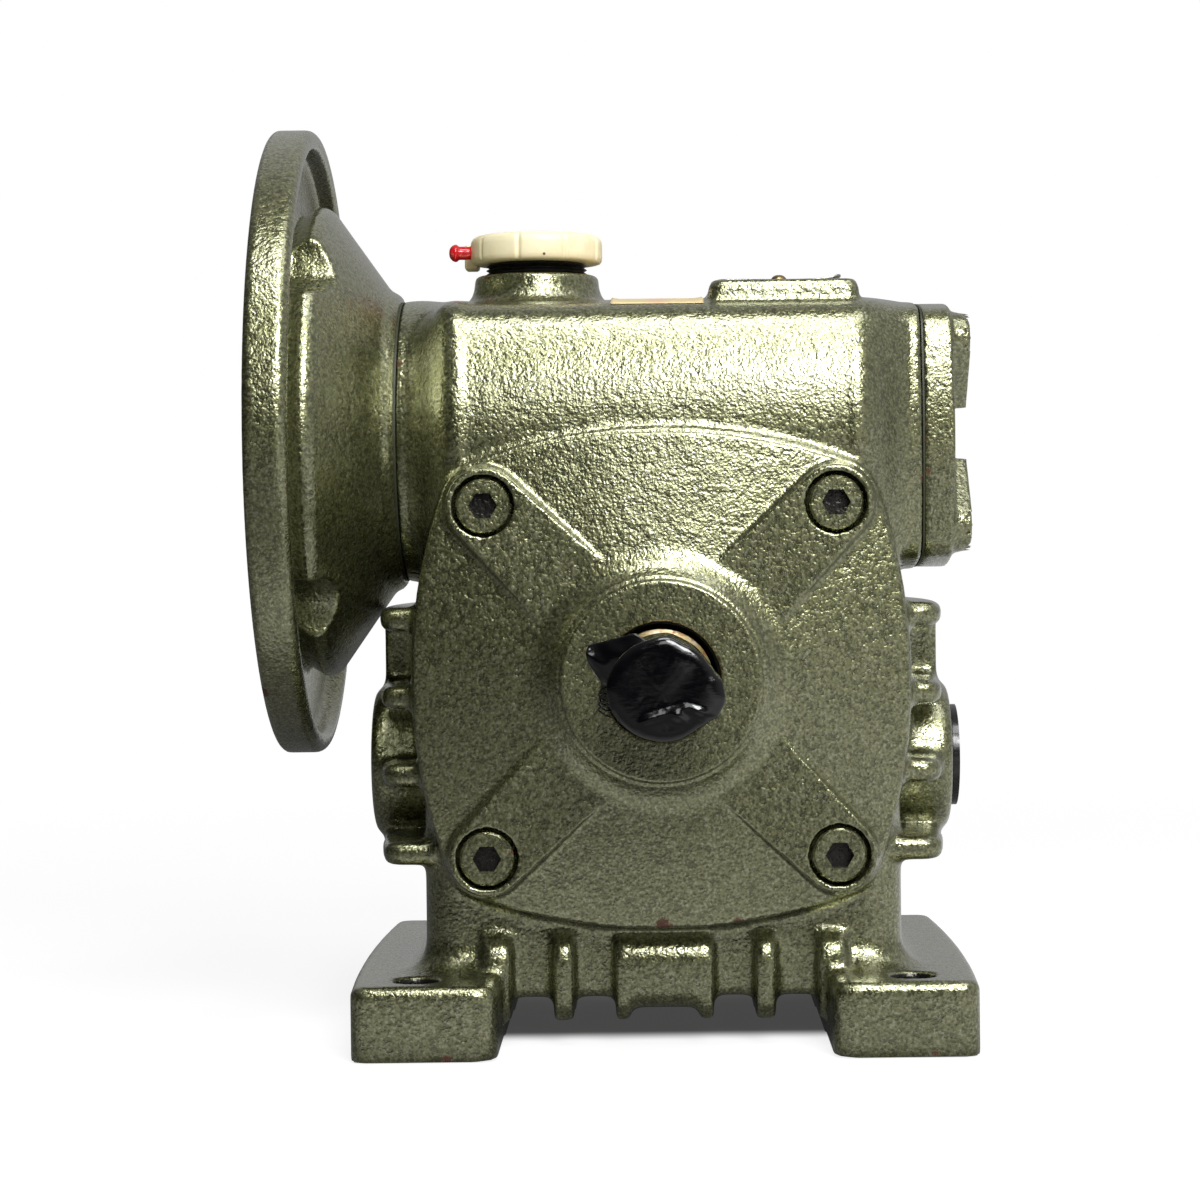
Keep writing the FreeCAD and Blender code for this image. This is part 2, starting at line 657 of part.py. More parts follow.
def housing():
    """Worm housing along X: round neck at the motor side, crowned middle, square end rim."""
    middle = pillow(HOUSING_HALF_Y, HOUSING_HALF_Z, HOUSING_TOP_R, HOUSING_SIDE_R, HOUSING_CORNER, 0)
    corners = [v.Point for v in middle.Vertexes if v.Point.x > 0 and v.Point.y > 0]
    top = min(corners, key=lambda p: p.x)
    side = max(corners, key=lambda p: p.x)

    def middle_at(z, shrink=0.0):
        return pillow(HOUSING_HALF_Y - shrink, HOUSING_HALF_Z, HOUSING_TOP_R, HOUSING_SIDE_R,
                      HOUSING_CORNER, z)

    neck = [circle8(HOUSING_NECK_R, top, side, -MOTOR_FACE_X),
            circle8(HOUSING_NECK_R + 0.3, top, side, -MOTOR_FACE_X - NECK_RUN / 5),
            middle_at(-HOUSING_RUN_LEFT + NECK_RUN / 3, HOUSING_PINCH), middle_at(-HOUSING_RUN_LEFT)]
    left = placed(Part.makeLoft(neck, True, False), motor_at())
    run = HOUSING_RUN_RIGHT - HOUSING_RUN_LEFT
    centre = placed(prism(middle_at(0), run), end_at(HOUSING_RUN_LEFT))
    rim_start = END_FACE_X - END_RIM
    blend = rim_start - HOUSING_RUN_RIGHT
    rim = END_HALF + END_RIM_STEP
    tail = [middle_at(HOUSING_RUN_RIGHT), middle_at(HOUSING_RUN_RIGHT + blend * 0.3, HOUSING_PINCH),
            pillow(rim + 2.2, rim + 0.6, END_SIDE_R, END_SIDE_R, END_CORNER + 2, rim_start - blend * 0.22),
            square_pillow(rim, END_SIDE_R, END_CORNER, rim_start)]
    right = placed(Part.makeLoft(tail, True, False), end_at())
    end = placed(prism(square_pillow(rim, END_SIDE_R, END_CORNER, 0), END_RIM), end_at(rim_start))
    return centre.fuse([left, right, end])


def drum():
    """Wheel chamber wall: the cover outline plus a seat rim, wider at the mid plane for draft."""
    half = COVER_HALF + SEAT_RIM
    corner = COVER_CORNER + SEAT_RIM
    at_face = square_pillow(half, COVER_SIDE_R, corner, SIDE_FACE)
    at_middle = square_pillow(half + SIDE_DRAFT, COVER_SIDE_R, corner + SIDE_DRAFT, 0)
    one = Part.makeLoft([at_middle, at_face], True, True)
    return placed(one, front_at()).fuse(placed(one, rear_at()))


def bowed_outline(a, b, c, d, e):
    """Wire through five corners whose side from b to d bows out through c."""
    edges = [Part.makeLine(a, b), Part.Arc(b, c, d).toShape(), Part.makeLine(d, e), Part.makeLine(e, a)]
    return Part.Wire(edges)


def foot(side):
    half = FOOT_LENGTH / 2
    outer = FOOT_OUTER_X
    a = Vector(FOOT_INNER_X, -half, 0)
    b = Vector(outer, -half, 0)
    c = Vector(outer + FOOT_BULGE, 0, 0)
    d = Vector(outer, half, 0)
    e = Vector(FOOT_INNER_X, half, 0)
    solid = prism(bowed_outline(a, b, c, d, e), FOOT_HEIGHT)
    upright = [edge for edge in solid.Edges if edge.BoundBox.XLength < 0.01 and edge.BoundBox.YLength < 0.01]
    solid = solid.makeFillet(FOOT_CORNER, upright)
    top = [edge for edge in solid.Edges if edge.BoundBox.ZMin > FOOT_HEIGHT - 0.01]
    solid = solid.makeFillet(FOOT_EDGE, top)
    if side < 0:
        solid = solid.mirror(Vector(0, 0, 0), Vector(1, 0, 0))
    return solid


def skirt():
    """Lower body from the belly to the drum, coved into the feet."""
    upper = rounded_box(SKIRT_HALF_X, SKIRT_HALF_Y, SKIRT_CORNER, BELLY_Z, OUTPUT_HEIGHT)
    steps = 4
    sections = []
    for i in range(steps + 1):
        angle = math.pi / 2 * i / steps
        grow = SKIRT_COVE * (1 - math.sin(angle))
        z = FOOT_HEIGHT + SKIRT_COVE * (1 - math.cos(angle))
        sections.append((grow, z))
    cove = None
    for (g0, z0), (g1, z1) in zip(sections, sections[1:]):
        low = rounded_outline(SKIRT_HALF_X + g0, SKIRT_HALF_Y + g0, SKIRT_CORNER + g0, z0)
        high = rounded_outline(SKIRT_HALF_X + g1, SKIRT_HALF_Y + g1, SKIRT_CORNER + g1, z1)
        ring = Part.makeLoft([low, high], True, True)
        cove = ring if cove is None else cove.fuse(ring)
    slab = prism(rounded_outline(SKIRT_HALF_X + SKIRT_COVE, SKIRT_HALF_Y + SKIRT_COVE,
                                 SKIRT_CORNER + SKIRT_COVE, FOOT_HEIGHT - 3), 3)
    cove = cove.fuse(slab)
    between_feet = block(-FOOT_INNER_X, FOOT_INNER_X, -BIG, BIG, 0, BIG)
    return upper.fuse(cove.cut(between_feet))


def rounded_outline(half_x, half_y, corner, z):
    x = half_x - corner
    y = half_y - corner
    k = corner / math.sqrt(2)
    edges = []
    for sx, sy in ((1, 1), (-1, 1), (-1, -1), (1, -1)):
        start = Vector(sx * half_x, sy * y, z)
        middle = Vector(sx * (x + k), sy * (y + k), z)
        stop = Vector(sx * x, sy * half_y, z)
        arc = [start, middle, stop] if sx * sy > 0 else [stop, middle, start]
        edges.append(arc)
    shapes = []
    for i, arc in enumerate(edges):
        shapes.append(Part.Arc(*arc).toShape())
        shapes.append(Part.makeLine(arc[2], edges[(i + 1) % 4][0]))
    return Part.Wire(shapes)


def fin(z, side):
    """Horizontal cooling fin: bowed outer edge, round ends, rounded lips."""
    inner = SKIRT_HALF_X - FIN_ROOT
    end = FIN_REACH - FIN_BOW
    y = FIN_HALF_Y
    a = Vector(inner, -y, 0)
    b = Vector(end, -y, 0)
    c = Vector(FIN_REACH, 0, 0)
    d = Vector(end, y, 0)
    e = Vector(inner, y, 0)
    solid = prism(bowed_outline(a, b, c, d, e), FIN_THICKNESS)
    upright = [edge for edge in solid.Edges if edge.BoundBox.ZLength > 1 and edge.BoundBox.XMin > inner + 1]
    solid = solid.makeFillet(FIN_END_R, upright)
    lips = [edge for edge in solid.Edges if edge.BoundBox.ZLength < 0.01 and edge.BoundBox.XMax > inner + 1]
    solid = solid.makeFillet(FIN_EDGE, lips)
    solid.translate(Vector(0, 0, z - FIN_THICKNESS / 2))
    if side < 0:
        solid = solid.mirror(Vector(0, 0, 0), Vector(1, 0, 0))
    return solid


def fins():
    pieces = []
    bottom_z = FIN_TOP_Z - (FIN_COUNT - 1) * FIN_PITCH
    for side in (-1, 1):
        for i in range(FIN_COUNT):
            pieces.append(fin(FIN_TOP_Z - i * FIN_PITCH, side))
        inner = SKIRT_HALF_X - FIN_ROOT
        web = block(inner, FIN_REACH - FIN_WEB_SET, -FIN_WEB / 2, FIN_WEB / 2, bottom_z, FIN_TOP_Z)
        boss = turned([(inner, 0), (inner, LEVEL_BOSS_R + 1), (LEVEL_FACE_X - LEVEL_EDGE, LEVEL_BOSS_R),
                       (LEVEL_FACE_X, LEVEL_BOSS_R - LEVEL_EDGE), (LEVEL_FACE_X, 0)])
        boss = placed(boss, frame_at(LEVEL_Z, 90 * side))
        pieces.append(web if side > 0 else web.mirror(Vector(0, 0, 0), Vector(1, 0, 0)))
        pieces.append(boss)
    return pieces


def belly_rib(x, width, drop):
    """Rib that hangs under the belly and turns up the front and rear walls."""
    y = RIB_OUT_Y
    top = BELLY_Z + RIB_RISE
    tip = BELLY_Z - drop
    points = [(-SKIRT_HALF_Y + 3, top + 4), (-y + 1, top - 2), (-y, top - 5), (-y, tip + 3), (-y + 2.5, tip)]
    points += [(-py, pz) for py, pz in reversed(points)]
    corners = [Vector(x - width / 2, py, pz) for py, pz in points]
    face = Part.Face(Part.makePolygon(corners + [corners[0]]))
    return face.extrude(Vector(width, 0, 0))


def ribs():
    pieces = [belly_rib(x, RIB_WIDTH, RIB_DROP) for x in (-RIB_X, RIB_X)]
    pieces += [belly_rib(x, EDGE_RIB_WIDTH, RIB_DROP) for x in (-EDGE_RIB_X, EDGE_RIB_X)]
    pieces.append(belly_rib(0, 2 * PANEL_HALF, PANEL_DROP))
    side = PANEL_HALF - PANEL_RIB_WIDTH / 2
    pieces += [belly_rib(x, PANEL_RIB_WIDTH, RIB_DROP) for x in (-side, side)]
    return pieces


def top_features():
    """Filler boss with its flare, and the sloped pad for the nameplate."""
    low = HOUSING_TOP_Z - 3
    flare_r = FILLER_R + FILLER_FLARE
    bend = FILLER_FLARE * 0.293
    boss = turned([
        (WORM_Z, 0), (WORM_Z, flare_r), (low, flare_r, (low + bend, FILLER_R + bend)),
        (low + FILLER_FLARE, FILLER_R), (FILLER_TOP_Z - 0.8, FILLER_R),
        (FILLER_TOP_Z, FILLER_R - 0.8), (FILLER_TOP_Z, 0)])
    boss.translate(Vector(FILLER_X, 0, 0))
    slope = PAD_SLOPE
    sections = []
    for z, grow in ((low - 4, slope), (PAD_TOP_Z - 2, slope * 0.6), (PAD_TOP_Z, 0)):
        x0 = PAD_LOW_X + slope - grow
        x1 = PAD_HIGH_X - slope + grow
        outline = rounded_outline((x1 - x0) / 2, PAD_HALF_Y + grow, 3, z)
        outline.translate(Vector((x0 + x1) / 2, 0, 0))
        sections.append(outline)
    return boss, Part.makeLoft(sections, True, True)


def make_casing():
    outer = housing().fuse([drum(), skirt(), foot(1), foot(-1)])
    drain_boss = placed(rod(DRAIN_BOSS_R, SUMP_HALF_Y + 2, RIB_OUT_Y), frame_at(DRAIN_Z, 180))
    outer = outer.fuse(fins() + ribs() + list(top_features()) + [drain_boss])
    holes = [placed(rod(CHAMBER_R, -BIG, BIG), front_at())]
    holes.append(rounded_box(SUMP_HALF_X, SUMP_HALF_Y, SUMP_CORNER, SUMP_FLOOR_Z, OUTPUT_HEIGHT))
    holes.append(placed(rod(TUNNEL_R, -END_BEARING_START, -MOTOR_FACE_X), motor_at()))
    holes.append(placed(rod(BEARING_OUTER / 2, MOTOR_BEARING_START, BIG), motor_at()))
    holes.append(placed(rod(END_BEARING_OUTER / 2, END_BEARING_START, BIG), end_at()))
    holes.append(rod(FILLER_BORE_R, WORM_Z, BIG, FILLER_X))
    holes.append(placed(rod(SIGHT_BORE_R, SUMP_HALF_X - 5, BIG), frame_at(LEVEL_Z, 90)))
    holes.append(placed(rod(PLUG_R, SUMP_HALF_X - 5, BIG), frame_at(LEVEL_Z, -90)))
    holes.append(placed(rod(DRAIN_R, SUMP_HALF_Y - 5, BIG), frame_at(DRAIN_Z, 180)))
    for x, y in around(4, COVER_BOLT_CIRCLE / 2):
        tap = rod(COVER_BOLT["r"] + RUN_GAP, SIDE_FACE - COVER_BOLT["thread"] - TAP_EXTRA, BIG, x, y)
        holes.append(placed(tap, front_at()))
        holes.append(placed(tap, rear_at()))
    small = SMALL_BOLT["r"] + RUN_GAP
    for x, y in around(4, FLANGE_SCREW_CIRCLE / 2):
        start = -MOTOR_FACE_X - SMALL_BOLT["thread"] - TAP_EXTRA
        holes.append(placed(rod(small, start, BIG, x, y), motor_at()))
    for x, y in around(4, END_BOLT_CIRCLE / 2):
        start = END_FACE_X - SMALL_BOLT["thread"] - TAP_EXTRA
        holes.append(placed(rod(small, start, BIG, x, y), end_at()))
    over_cove = FOOT_HEIGHT + SKIRT_COVE + OVERRUN
    for x in (-FOOT_BOLT_X / 2, FOOT_BOLT_X / 2):
        for y in (-FOOT_BOLT_Y / 2, FOOT_BOLT_Y / 2):
            holes.append(rod(FOOT_HOLE / 2, -OVERRUN, over_cove, x, y))
    for x, y in rivet_places():
        holes.append(rod(RIVET_PIN_R + RUN_GAP, PAD_TOP_Z - RIVET_DEPTH - BITE, BIG, x, y))
    save("casing", outer.cut(holes).removeSplitter())


def key_slot(width, depth_r, z0, z1, angle):
    """Round-ended slot cut from outside down to radius depth_r, at an angle about local z."""
    slot = block(depth_r, BIG, -width / 2, width / 2, z0 + width / 2, z1 - width / 2)
    for z in (z0 + width / 2, z1 - width / 2):
        end = Part.makeCylinder(width / 2, BIG - depth_r, Vector(depth_r, 0, z), Vector(1, 0, 0))
        slot = slot.fuse(end)
    slot.rotate(Vector(0, 0, 0), Vector(0, 0, 1), angle)
    return slot


def make_output_group():
    rear_end = -(SIDE_BEARING_START + BEARING_WIDTH)
    c = SHAFT_CHAMFER
    shaft = turned([
        (rear_end, 0), (rear_end, OUTPUT_SEAL_R - c), (rear_end + c, OUTPUT_SEAL_R),
        (-HUB_HALF, OUTPUT_SEAL_R), (-HUB_HALF, HUB_SEAT_R), (HUB_HALF, HUB_SEAT_R),
        (HUB_HALF, SHAFT_COLLAR_R), (SIDE_BEARING_START, SHAFT_COLLAR_R),
        (SIDE_BEARING_START, OUTPUT_SEAL_R), (BOSS_FACE - c, OUTPUT_SEAL_R), (BOSS_FACE, OUTPUT_R),
        (OUTPUT_END - c, OUTPUT_R), (OUTPUT_END, OUTPUT_R - c), (OUTPUT_END, 0)])
    seat = key_slot(WHEEL_KEY_WIDTH, HUB_SEAT_R - WHEEL_KEY_DEPTH, -WHEEL_KEY_LENGTH / 2,
                    WHEEL_KEY_LENGTH / 2, 90)
    slot_end = OUTPUT_END - OUTPUT_KEY_SET
    out = key_slot(OUTPUT_KEY_WIDTH, OUTPUT_R - OUTPUT_KEY_DEPTH, slot_end - OUTPUT_KEY_LENGTH, slot_end,
                   OUTPUT_KEY_ANGLE)
    shaft = shaft.cut([seat, out])
    save("output_shaft", placed(shaft, front_at()))

    low = HUB_SEAT_R - WHEEL_KEY_DEPTH
    key = key_slot(WHEEL_KEY_WIDTH, low, -WHEEL_KEY_LENGTH / 2, WHEEL_KEY_LENGTH / 2, 90)
    limit = block(-WHEEL_KEY_WIDTH, WHEEL_KEY_WIDTH, 0, low + WHEEL_KEY_HEIGHT, -HUB_HALF, HUB_HALF)
    key = key.common(limit)
    save("wheel_key", placed(key, front_at()))

    web_r = RIM_BORE_R - HUB_FLANGE
    hub = turned([
        (-HUB_HALF, 0), (-HUB_HALF, HUB_R), (-HUB_WEB_HALF, HUB_R + 1), (-HUB_WEB_HALF, web_r),
        (-WHEEL_FACE_HALF, web_r + 1), (-WHEEL_FACE_HALF, RIM_BORE_R), (WHEEL_FACE_HALF, RIM_BORE_R),
        (WHEEL_FACE_HALF, web_r + 1), (HUB_WEB_HALF, web_r), (HUB_WEB_HALF, HUB_R + 1),
        (HUB_HALF, HUB_R), (HUB_HALF, 0)])
    way_top = low + WHEEL_KEY_HEIGHT + WHEEL_KEY_TOP_GAP
    way = block(-WHEEL_KEY_WIDTH / 2, WHEEL_KEY_WIDTH / 2, 0, way_top, -BIG, BIG)
    places = around(RIM_SCREWS, RIM_BORE_R)
    screws = [rod(RIM_SCREW_R, -WHEEL_FACE_HALF - OVERRUN, 0, x, y) for x, y in places]
    hub = hub.cut([rod(HUB_SEAT_R, -BIG, BIG), way] + screws)
    save("wheel_hub", placed(hub, front_at()))
    save("wheel_rim", placed(wheel_rim().cut(screws), front_at()))
    grub = [rod(RIM_SCREW_R, -WHEEL_FACE_HALF, 0, x, y) for x, y in places]
    save("rim_screws", [placed(g, front_at()) for g in grub])
    spacer = tube(OUTPUT_SEAL_R, SHAFT_COLLAR_R, HUB_HALF, SIDE_BEARING_START)
    save("shaft_spacer", placed(spacer, rear_at()))


def involute_half_angle(r):
    """Half angle of a wheel tooth at radius r, thinned by the backlash."""
    base_r = WHEEL_PITCH_R * math.cos(math.radians(PRESSURE_ANGLE))
    alpha = math.acos(min(1.0, base_r / r))
    inv = math.tan(alpha) - alpha
    pitch_inv = TAN_PRESSURE - math.radians(PRESSURE_ANGLE)
    thickness = math.pi * MODULE / 2 - TOOTH_BACKLASH
    return thickness / (2 * WHEEL_PITCH_R) + pitch_inv - inv


def tooth_ring(z, turn):
    """Wire of the whole toothed outline at height z, turned by an angle in radians."""
    base_r = WHEEL_PITCH_R * math.cos(math.radians(PRESSURE_ANGLE))
    tip_r = WHEEL_OUTER_R + 0.4
    steps = 4
    radii = [base_r + (tip_r - base_r) * (i / steps) for i in range(steps + 1)]
    pitch = 2 * math.pi / WHEEL_TEETH

    def at(r, angle):
        return Vector(r * math.cos(angle), r * math.sin(angle), z)

    edges = []
    for i in range(WHEEL_TEETH):
        middle = math.pi / 2 + turn + (i + 0.5) * pitch
        root = involute_half_angle(base_r) + 0.004
        gap_end = middle + pitch - root
        rise = [at(r, middle - involute_half_angle(r)) for r in radii]
        fall = [at(r, middle + involute_half_angle(r)) for r in reversed(radii)]
        edges.append(Part.makeLine(at(WHEEL_ROOT_R, middle - root), rise[0]))
        edges.append(spline(rise))
        edges.append(Part.Arc(rise[-1], at(tip_r, middle), fall[0]).toShape())
        edges.append(spline(fall))
        edges.append(Part.makeLine(fall[-1], at(WHEEL_ROOT_R, middle + root)))
        edges.append(Part.Arc(at(WHEEL_ROOT_R, middle + root), at(WHEEL_ROOT_R, middle + pitch / 2),
                              at(WHEEL_ROOT_R, gap_end)).toShape())
    return Part.Wire(edges)


def spline(points):
    curve = Part.BSplineCurve()
    curve.interpolate(points)
    return curve.toShape()


def wheel_rim():
    """Bronze rim: helical involute teeth, with a throat that follows the worm."""
    half = WHEEL_FACE_HALF
    turn = half * math.tan(LEAD_ANGLE) / WHEEL_PITCH_R
    teeth = Part.makeLoft([tooth_ring(-half, -turn), tooth_ring(half, turn)], True, True)
    throat = CENTRE_DISTANCE - WHEEL_THROAT_R
    open_half = math.sqrt(throat ** 2 - (CENTRE_DISTANCE - WHEEL_OUTER_R) ** 2)
    c = 1.0
    blank = turned([
        (-half, RIM_BORE_R), (-half, WHEEL_OUTER_R - c), (-half + c, WHEEL_OUTER_R),
        (-open_half, WHEEL_OUTER_R, (0, WHEEL_THROAT_R)), (open_half, WHEEL_OUTER_R),
        (half - c, WHEEL_OUTER_R), (half, WHEEL_OUTER_R - c), (half, RIM_BORE_R)])
    return teeth.common(blank)


def worm_thread():
    """One right-hand thread on local z, crest at local -y when z = 0."""
    turns = 7
    start = -turns * LEAD / 2
    helix = Part.makeHelix(LEAD, turns * LEAD, WORM_PITCH_R)
    half = (math.pi * MODULE / 2 - THREAD_BACKLASH) / 2
    root_r = WORM_ROOT_R - 0.4
    tip_half = half - (WORM_TIP_R - WORM_PITCH_R) * TAN_PRESSURE
    root_half = half + (WORM_PITCH_R - root_r) * TAN_PRESSURE
    corners = [Vector(root_r, 0, -root_half), Vector(WORM_TIP_R, 0, -tip_half),
               Vector(WORM_TIP_R, 0, tip_half), Vector(root_r, 0, root_half)]
    profile = Part.makePolygon(corners + [corners[0]])
    thread = Part.Wire(helix.Edges).makePipeShell([profile], True, True)
    thread.translate(Vector(0, 0, start))
    thread.rotate(Vector(0, 0, 0), Vector(0, 0, 1), 180 * (turns % 2) - 90)
    c = THREAD_END_CHAMFER
    clip = turned([
        (-THREAD_HALF_LENGTH, 0), (-THREAD_HALF_LENGTH, WORM_TIP_R + 1 - c),
        (-THREAD_HALF_LENGTH + c, WORM_TIP_R + 1), (THREAD_HALF_LENGTH - c, WORM_TIP_R + 1),
        (THREAD_HALF_LENGTH, WORM_TIP_R + 1 - c), (THREAD_HALF_LENGTH, 0)])
    return thread.common(clip)


def make_worm_group():
    c = SHAFT_CHAMFER
    half = THREAD_HALF_LENGTH
    quill = -FLANGE_FACE_X - QUILL_SET
    quill_r = BEARING_BORE / 2
    stub_end = END_BEARING_START + BEARING_WIDTH
    core = turned([
        (-stub_end, 0), (-stub_end, WORM_STUB_R - c), (-stub_end + c, WORM_STUB_R),
        (-END_BEARING_START, WORM_STUB_R), (-END_BEARING_START, WORM_STUB_SHOULDER_R),
        (-half - c, WORM_STUB_SHOULDER_R), (-half, WORM_ROOT_R), (half, WORM_ROOT_R),
        (half + c, WORM_SHOULDER_R), (MOTOR_BEARING_START, WORM_SHOULDER_R),
        (MOTOR_BEARING_START, quill_r), (quill - c, quill_r), (quill, quill_r - c), (quill, 0)])
    bore_z = quill - INPUT_BORE_DEPTH
    bore = rod(INPUT_BORE_R, bore_z, quill + OVERRUN)
    way = block(-INPUT_KEY_WIDTH / 2, INPUT_KEY_WIDTH / 2, 0, INPUT_KEY_TOP, bore_z, quill + OVERRUN)
    worm = core.fuse(worm_thread()).cut([bore, way])
    save("worm_shaft", placed(worm, motor_at()))


def bearing(bore, outer):
    """Taper roller bearing: cup, cone, cage and rollers; z = 0 is the back face of the cone."""
    rm = (bore + outer) / 4
    roller_r = (outer - bore) / 8
    tilt = math.radians(BEARING_TILT)
    middle_z = BEARING_WIDTH / 2
    apex_z = middle_z + rm / math.tan(tilt)
    apex_s = rm / math.sin(tilt)
    taper = math.atan2(roller_r, apex_s)
    width = BEARING_WIDTH

    def inner_r(z):
        return (apex_z - z) * math.tan(tilt - taper) - ROLLER_GAP

    def outer_r(z):
        return (apex_z - z) * math.tan(tilt + taper) + ROLLER_GAP

    rib = BEARING_RIB
    wide = BEARING_CONE_WIDTH
    rib_r = inner_r(rib) + BEARING_RIB_HEIGHT
    cone = turned([(0, bore / 2), (0, rib_r), (rib, rib_r), (rib, inner_r(rib)), (wide, inner_r(wide)),
                   (wide, bore / 2)])
    low = BEARING_CUP_START
    cup = turned([(low, outer_r(low)), (low, outer / 2), (width, outer / 2), (width, outer_r(width))])
    half = BEARING_ROLLER_LENGTH / 2
    big = (apex_s + half) * math.tan(taper)
    small = (apex_s - half) * math.tan(taper)
    roller = Part.makeCone(big, small, 2 * half, Vector(0, 0, -half), Vector(0, 0, 1))
    roller.rotate(Vector(0, 0, 0), Vector(0, 1, 0), -BEARING_TILT)
    roller.translate(Vector(rm, 0, middle_z))
    rollers = []
    pockets = []
    for i in range(BEARING_ROLLERS):
        one = roller.copy()
        one.rotate(Vector(0, 0, 0), Vector(0, 0, 1), 360.0 * i / BEARING_ROLLERS)
        rollers.append(one)
        side = big + POCKET_SIDE_GAP
        end = half + POCKET_END_GAP
        pocket = block(-2 * big, 2 * big, -side, side, -end, end)
        pocket.rotate(Vector(0, 0, 0), Vector(0, 1, 0), -BEARING_TILT)
        pocket.translate(Vector(rm, 0, middle_z))
        pocket.rotate(Vector(0, 0, 0), Vector(0, 0, 1), 360.0 * i / BEARING_ROLLERS)
        pockets.append(pocket)
    slope = math.tan(tilt)
    reach = half + CAGE_BORDER
    z0 = middle_z - reach
    z1 = middle_z + reach

    def cage_r(z):
        return rm + (middle_z - z) * slope

    near = CAGE_OFFSET
    far = CAGE_OFFSET + CAGE_THICKNESS
    cage = turned([(z0, cage_r(z0) + near), (z0, cage_r(z0) + far), (z1, cage_r(z1) + far),
                   (z1, cage_r(z1) + near)])
    return {"cup": cup, "cone": cone, "cage": cage.cut(pockets), "rollers": rollers}


def make_bearings():
    plain = bearing(BEARING_BORE, BEARING_OUTER)
    small = bearing(END_BEARING_BORE, END_BEARING_OUTER)
    places = (("front", plain, front_at(SIDE_BEARING_START)), ("rear", plain, rear_at(SIDE_BEARING_START)),
              ("motor", plain, motor_at(MOTOR_BEARING_START)), ("end", small, end_at(END_BEARING_START)))
    for name, parts, at in places:
        for piece in ("cup", "cone", "cage"):
            save(name + "_bearing_" + piece, placed(parts[piece], at))
        save(name + "_bearing_rollers", [placed(r, at) for r in parts["rollers"]])


def seal(inner_r, outer_r):
    """Radial lip seal with a hollow back, z = 0 at the oil side."""
    w = SEAL_WIDTH
    r = inner_r + SEAL_LIP_GAP
    shell = outer_r - SEAL_SHELL
    back = w - SEAL_SPRING_WIDTH
    return turned([(0, shell), (0, outer_r), (w, outer_r), (w, r + 1.2), (w - 1, r + 0.6), (w - 1.6, r + 1),
                   (2.2, r), (1, r + 0.8), (1, r + 2), (back, r + 2.6), (back, shell)])


def make_seals():
    save("output_seal", placed(seal(OUTPUT_SEAL_R, OUTPUT_SEAL_OUTER / 2), front_at(OUTPUT_SEAL_START)))
    save("input_seal", placed(seal(BEARING_BORE / 2, INPUT_SEAL_OUTER / 2), motor_at(-MOTOR_FACE_X)))


def make_side_plugs():
    """Sight glass on the right, flush level plug on the left, drain plug at the back."""
    right = frame_at(LEVEL_Z, 90)
    left = frame_at(LEVEL_Z, -90)
    face = LEVEL_FACE_X
    seat = face + SIGHT_GASKET
    lens_z = seat - SIGHT_SET
    body = rod(SIGHT_R, seat, seat + SIGHT_RIM)
    body = body.fuse(rod(SIGHT_BORE_R - FIT_GAP, face - PLUG_LENGTH, seat + BITE))
    body = body.cut(rod(SIGHT_LENS_R, lens_z, seat + SIGHT_RIM + OVERRUN))
    body = body.cut(rod(SIGHT_WINDOW, face - PLUG_LENGTH - OVERRUN, seat))
    save("sight_glass_body", placed(body, right))
    save("sight_glass_lens", placed(rod(SIGHT_LENS_R, lens_z, lens_z + SIGHT_LENS), right))
    gasket = tube(SIGHT_BORE_R, SIGHT_R - SIGHT_GASKET, face, seat)
    save("sight_glass_gasket", placed(gasket, right))
    flush = rod(PLUG_R - FIT_GAP, face - PLUG_LENGTH, face - PLUG_SUNK)
    flush = flush.cut(hexagon(PLUG_HEX, face - PLUG_SOCKET, face))
    save("level_plug", placed(flush, left))
    wall = RIB_OUT_Y
    back = frame_at(DRAIN_Z, 180)
    drain = hexagon(DRAIN_HEX, wall + WASHER, wall + WASHER + DRAIN_HEAD)
    drain = drain.fuse(rod(DRAIN_R - FIT_GAP, wall - PLUG_LENGTH, wall + WASHER + BITE))
    save("drain_plug", placed(drain.removeSplitter(), back))
    save("drain_plug_washer", placed(tube(DRAIN_R, DRAIN_WASHER_R, wall, wall + WASHER), back))


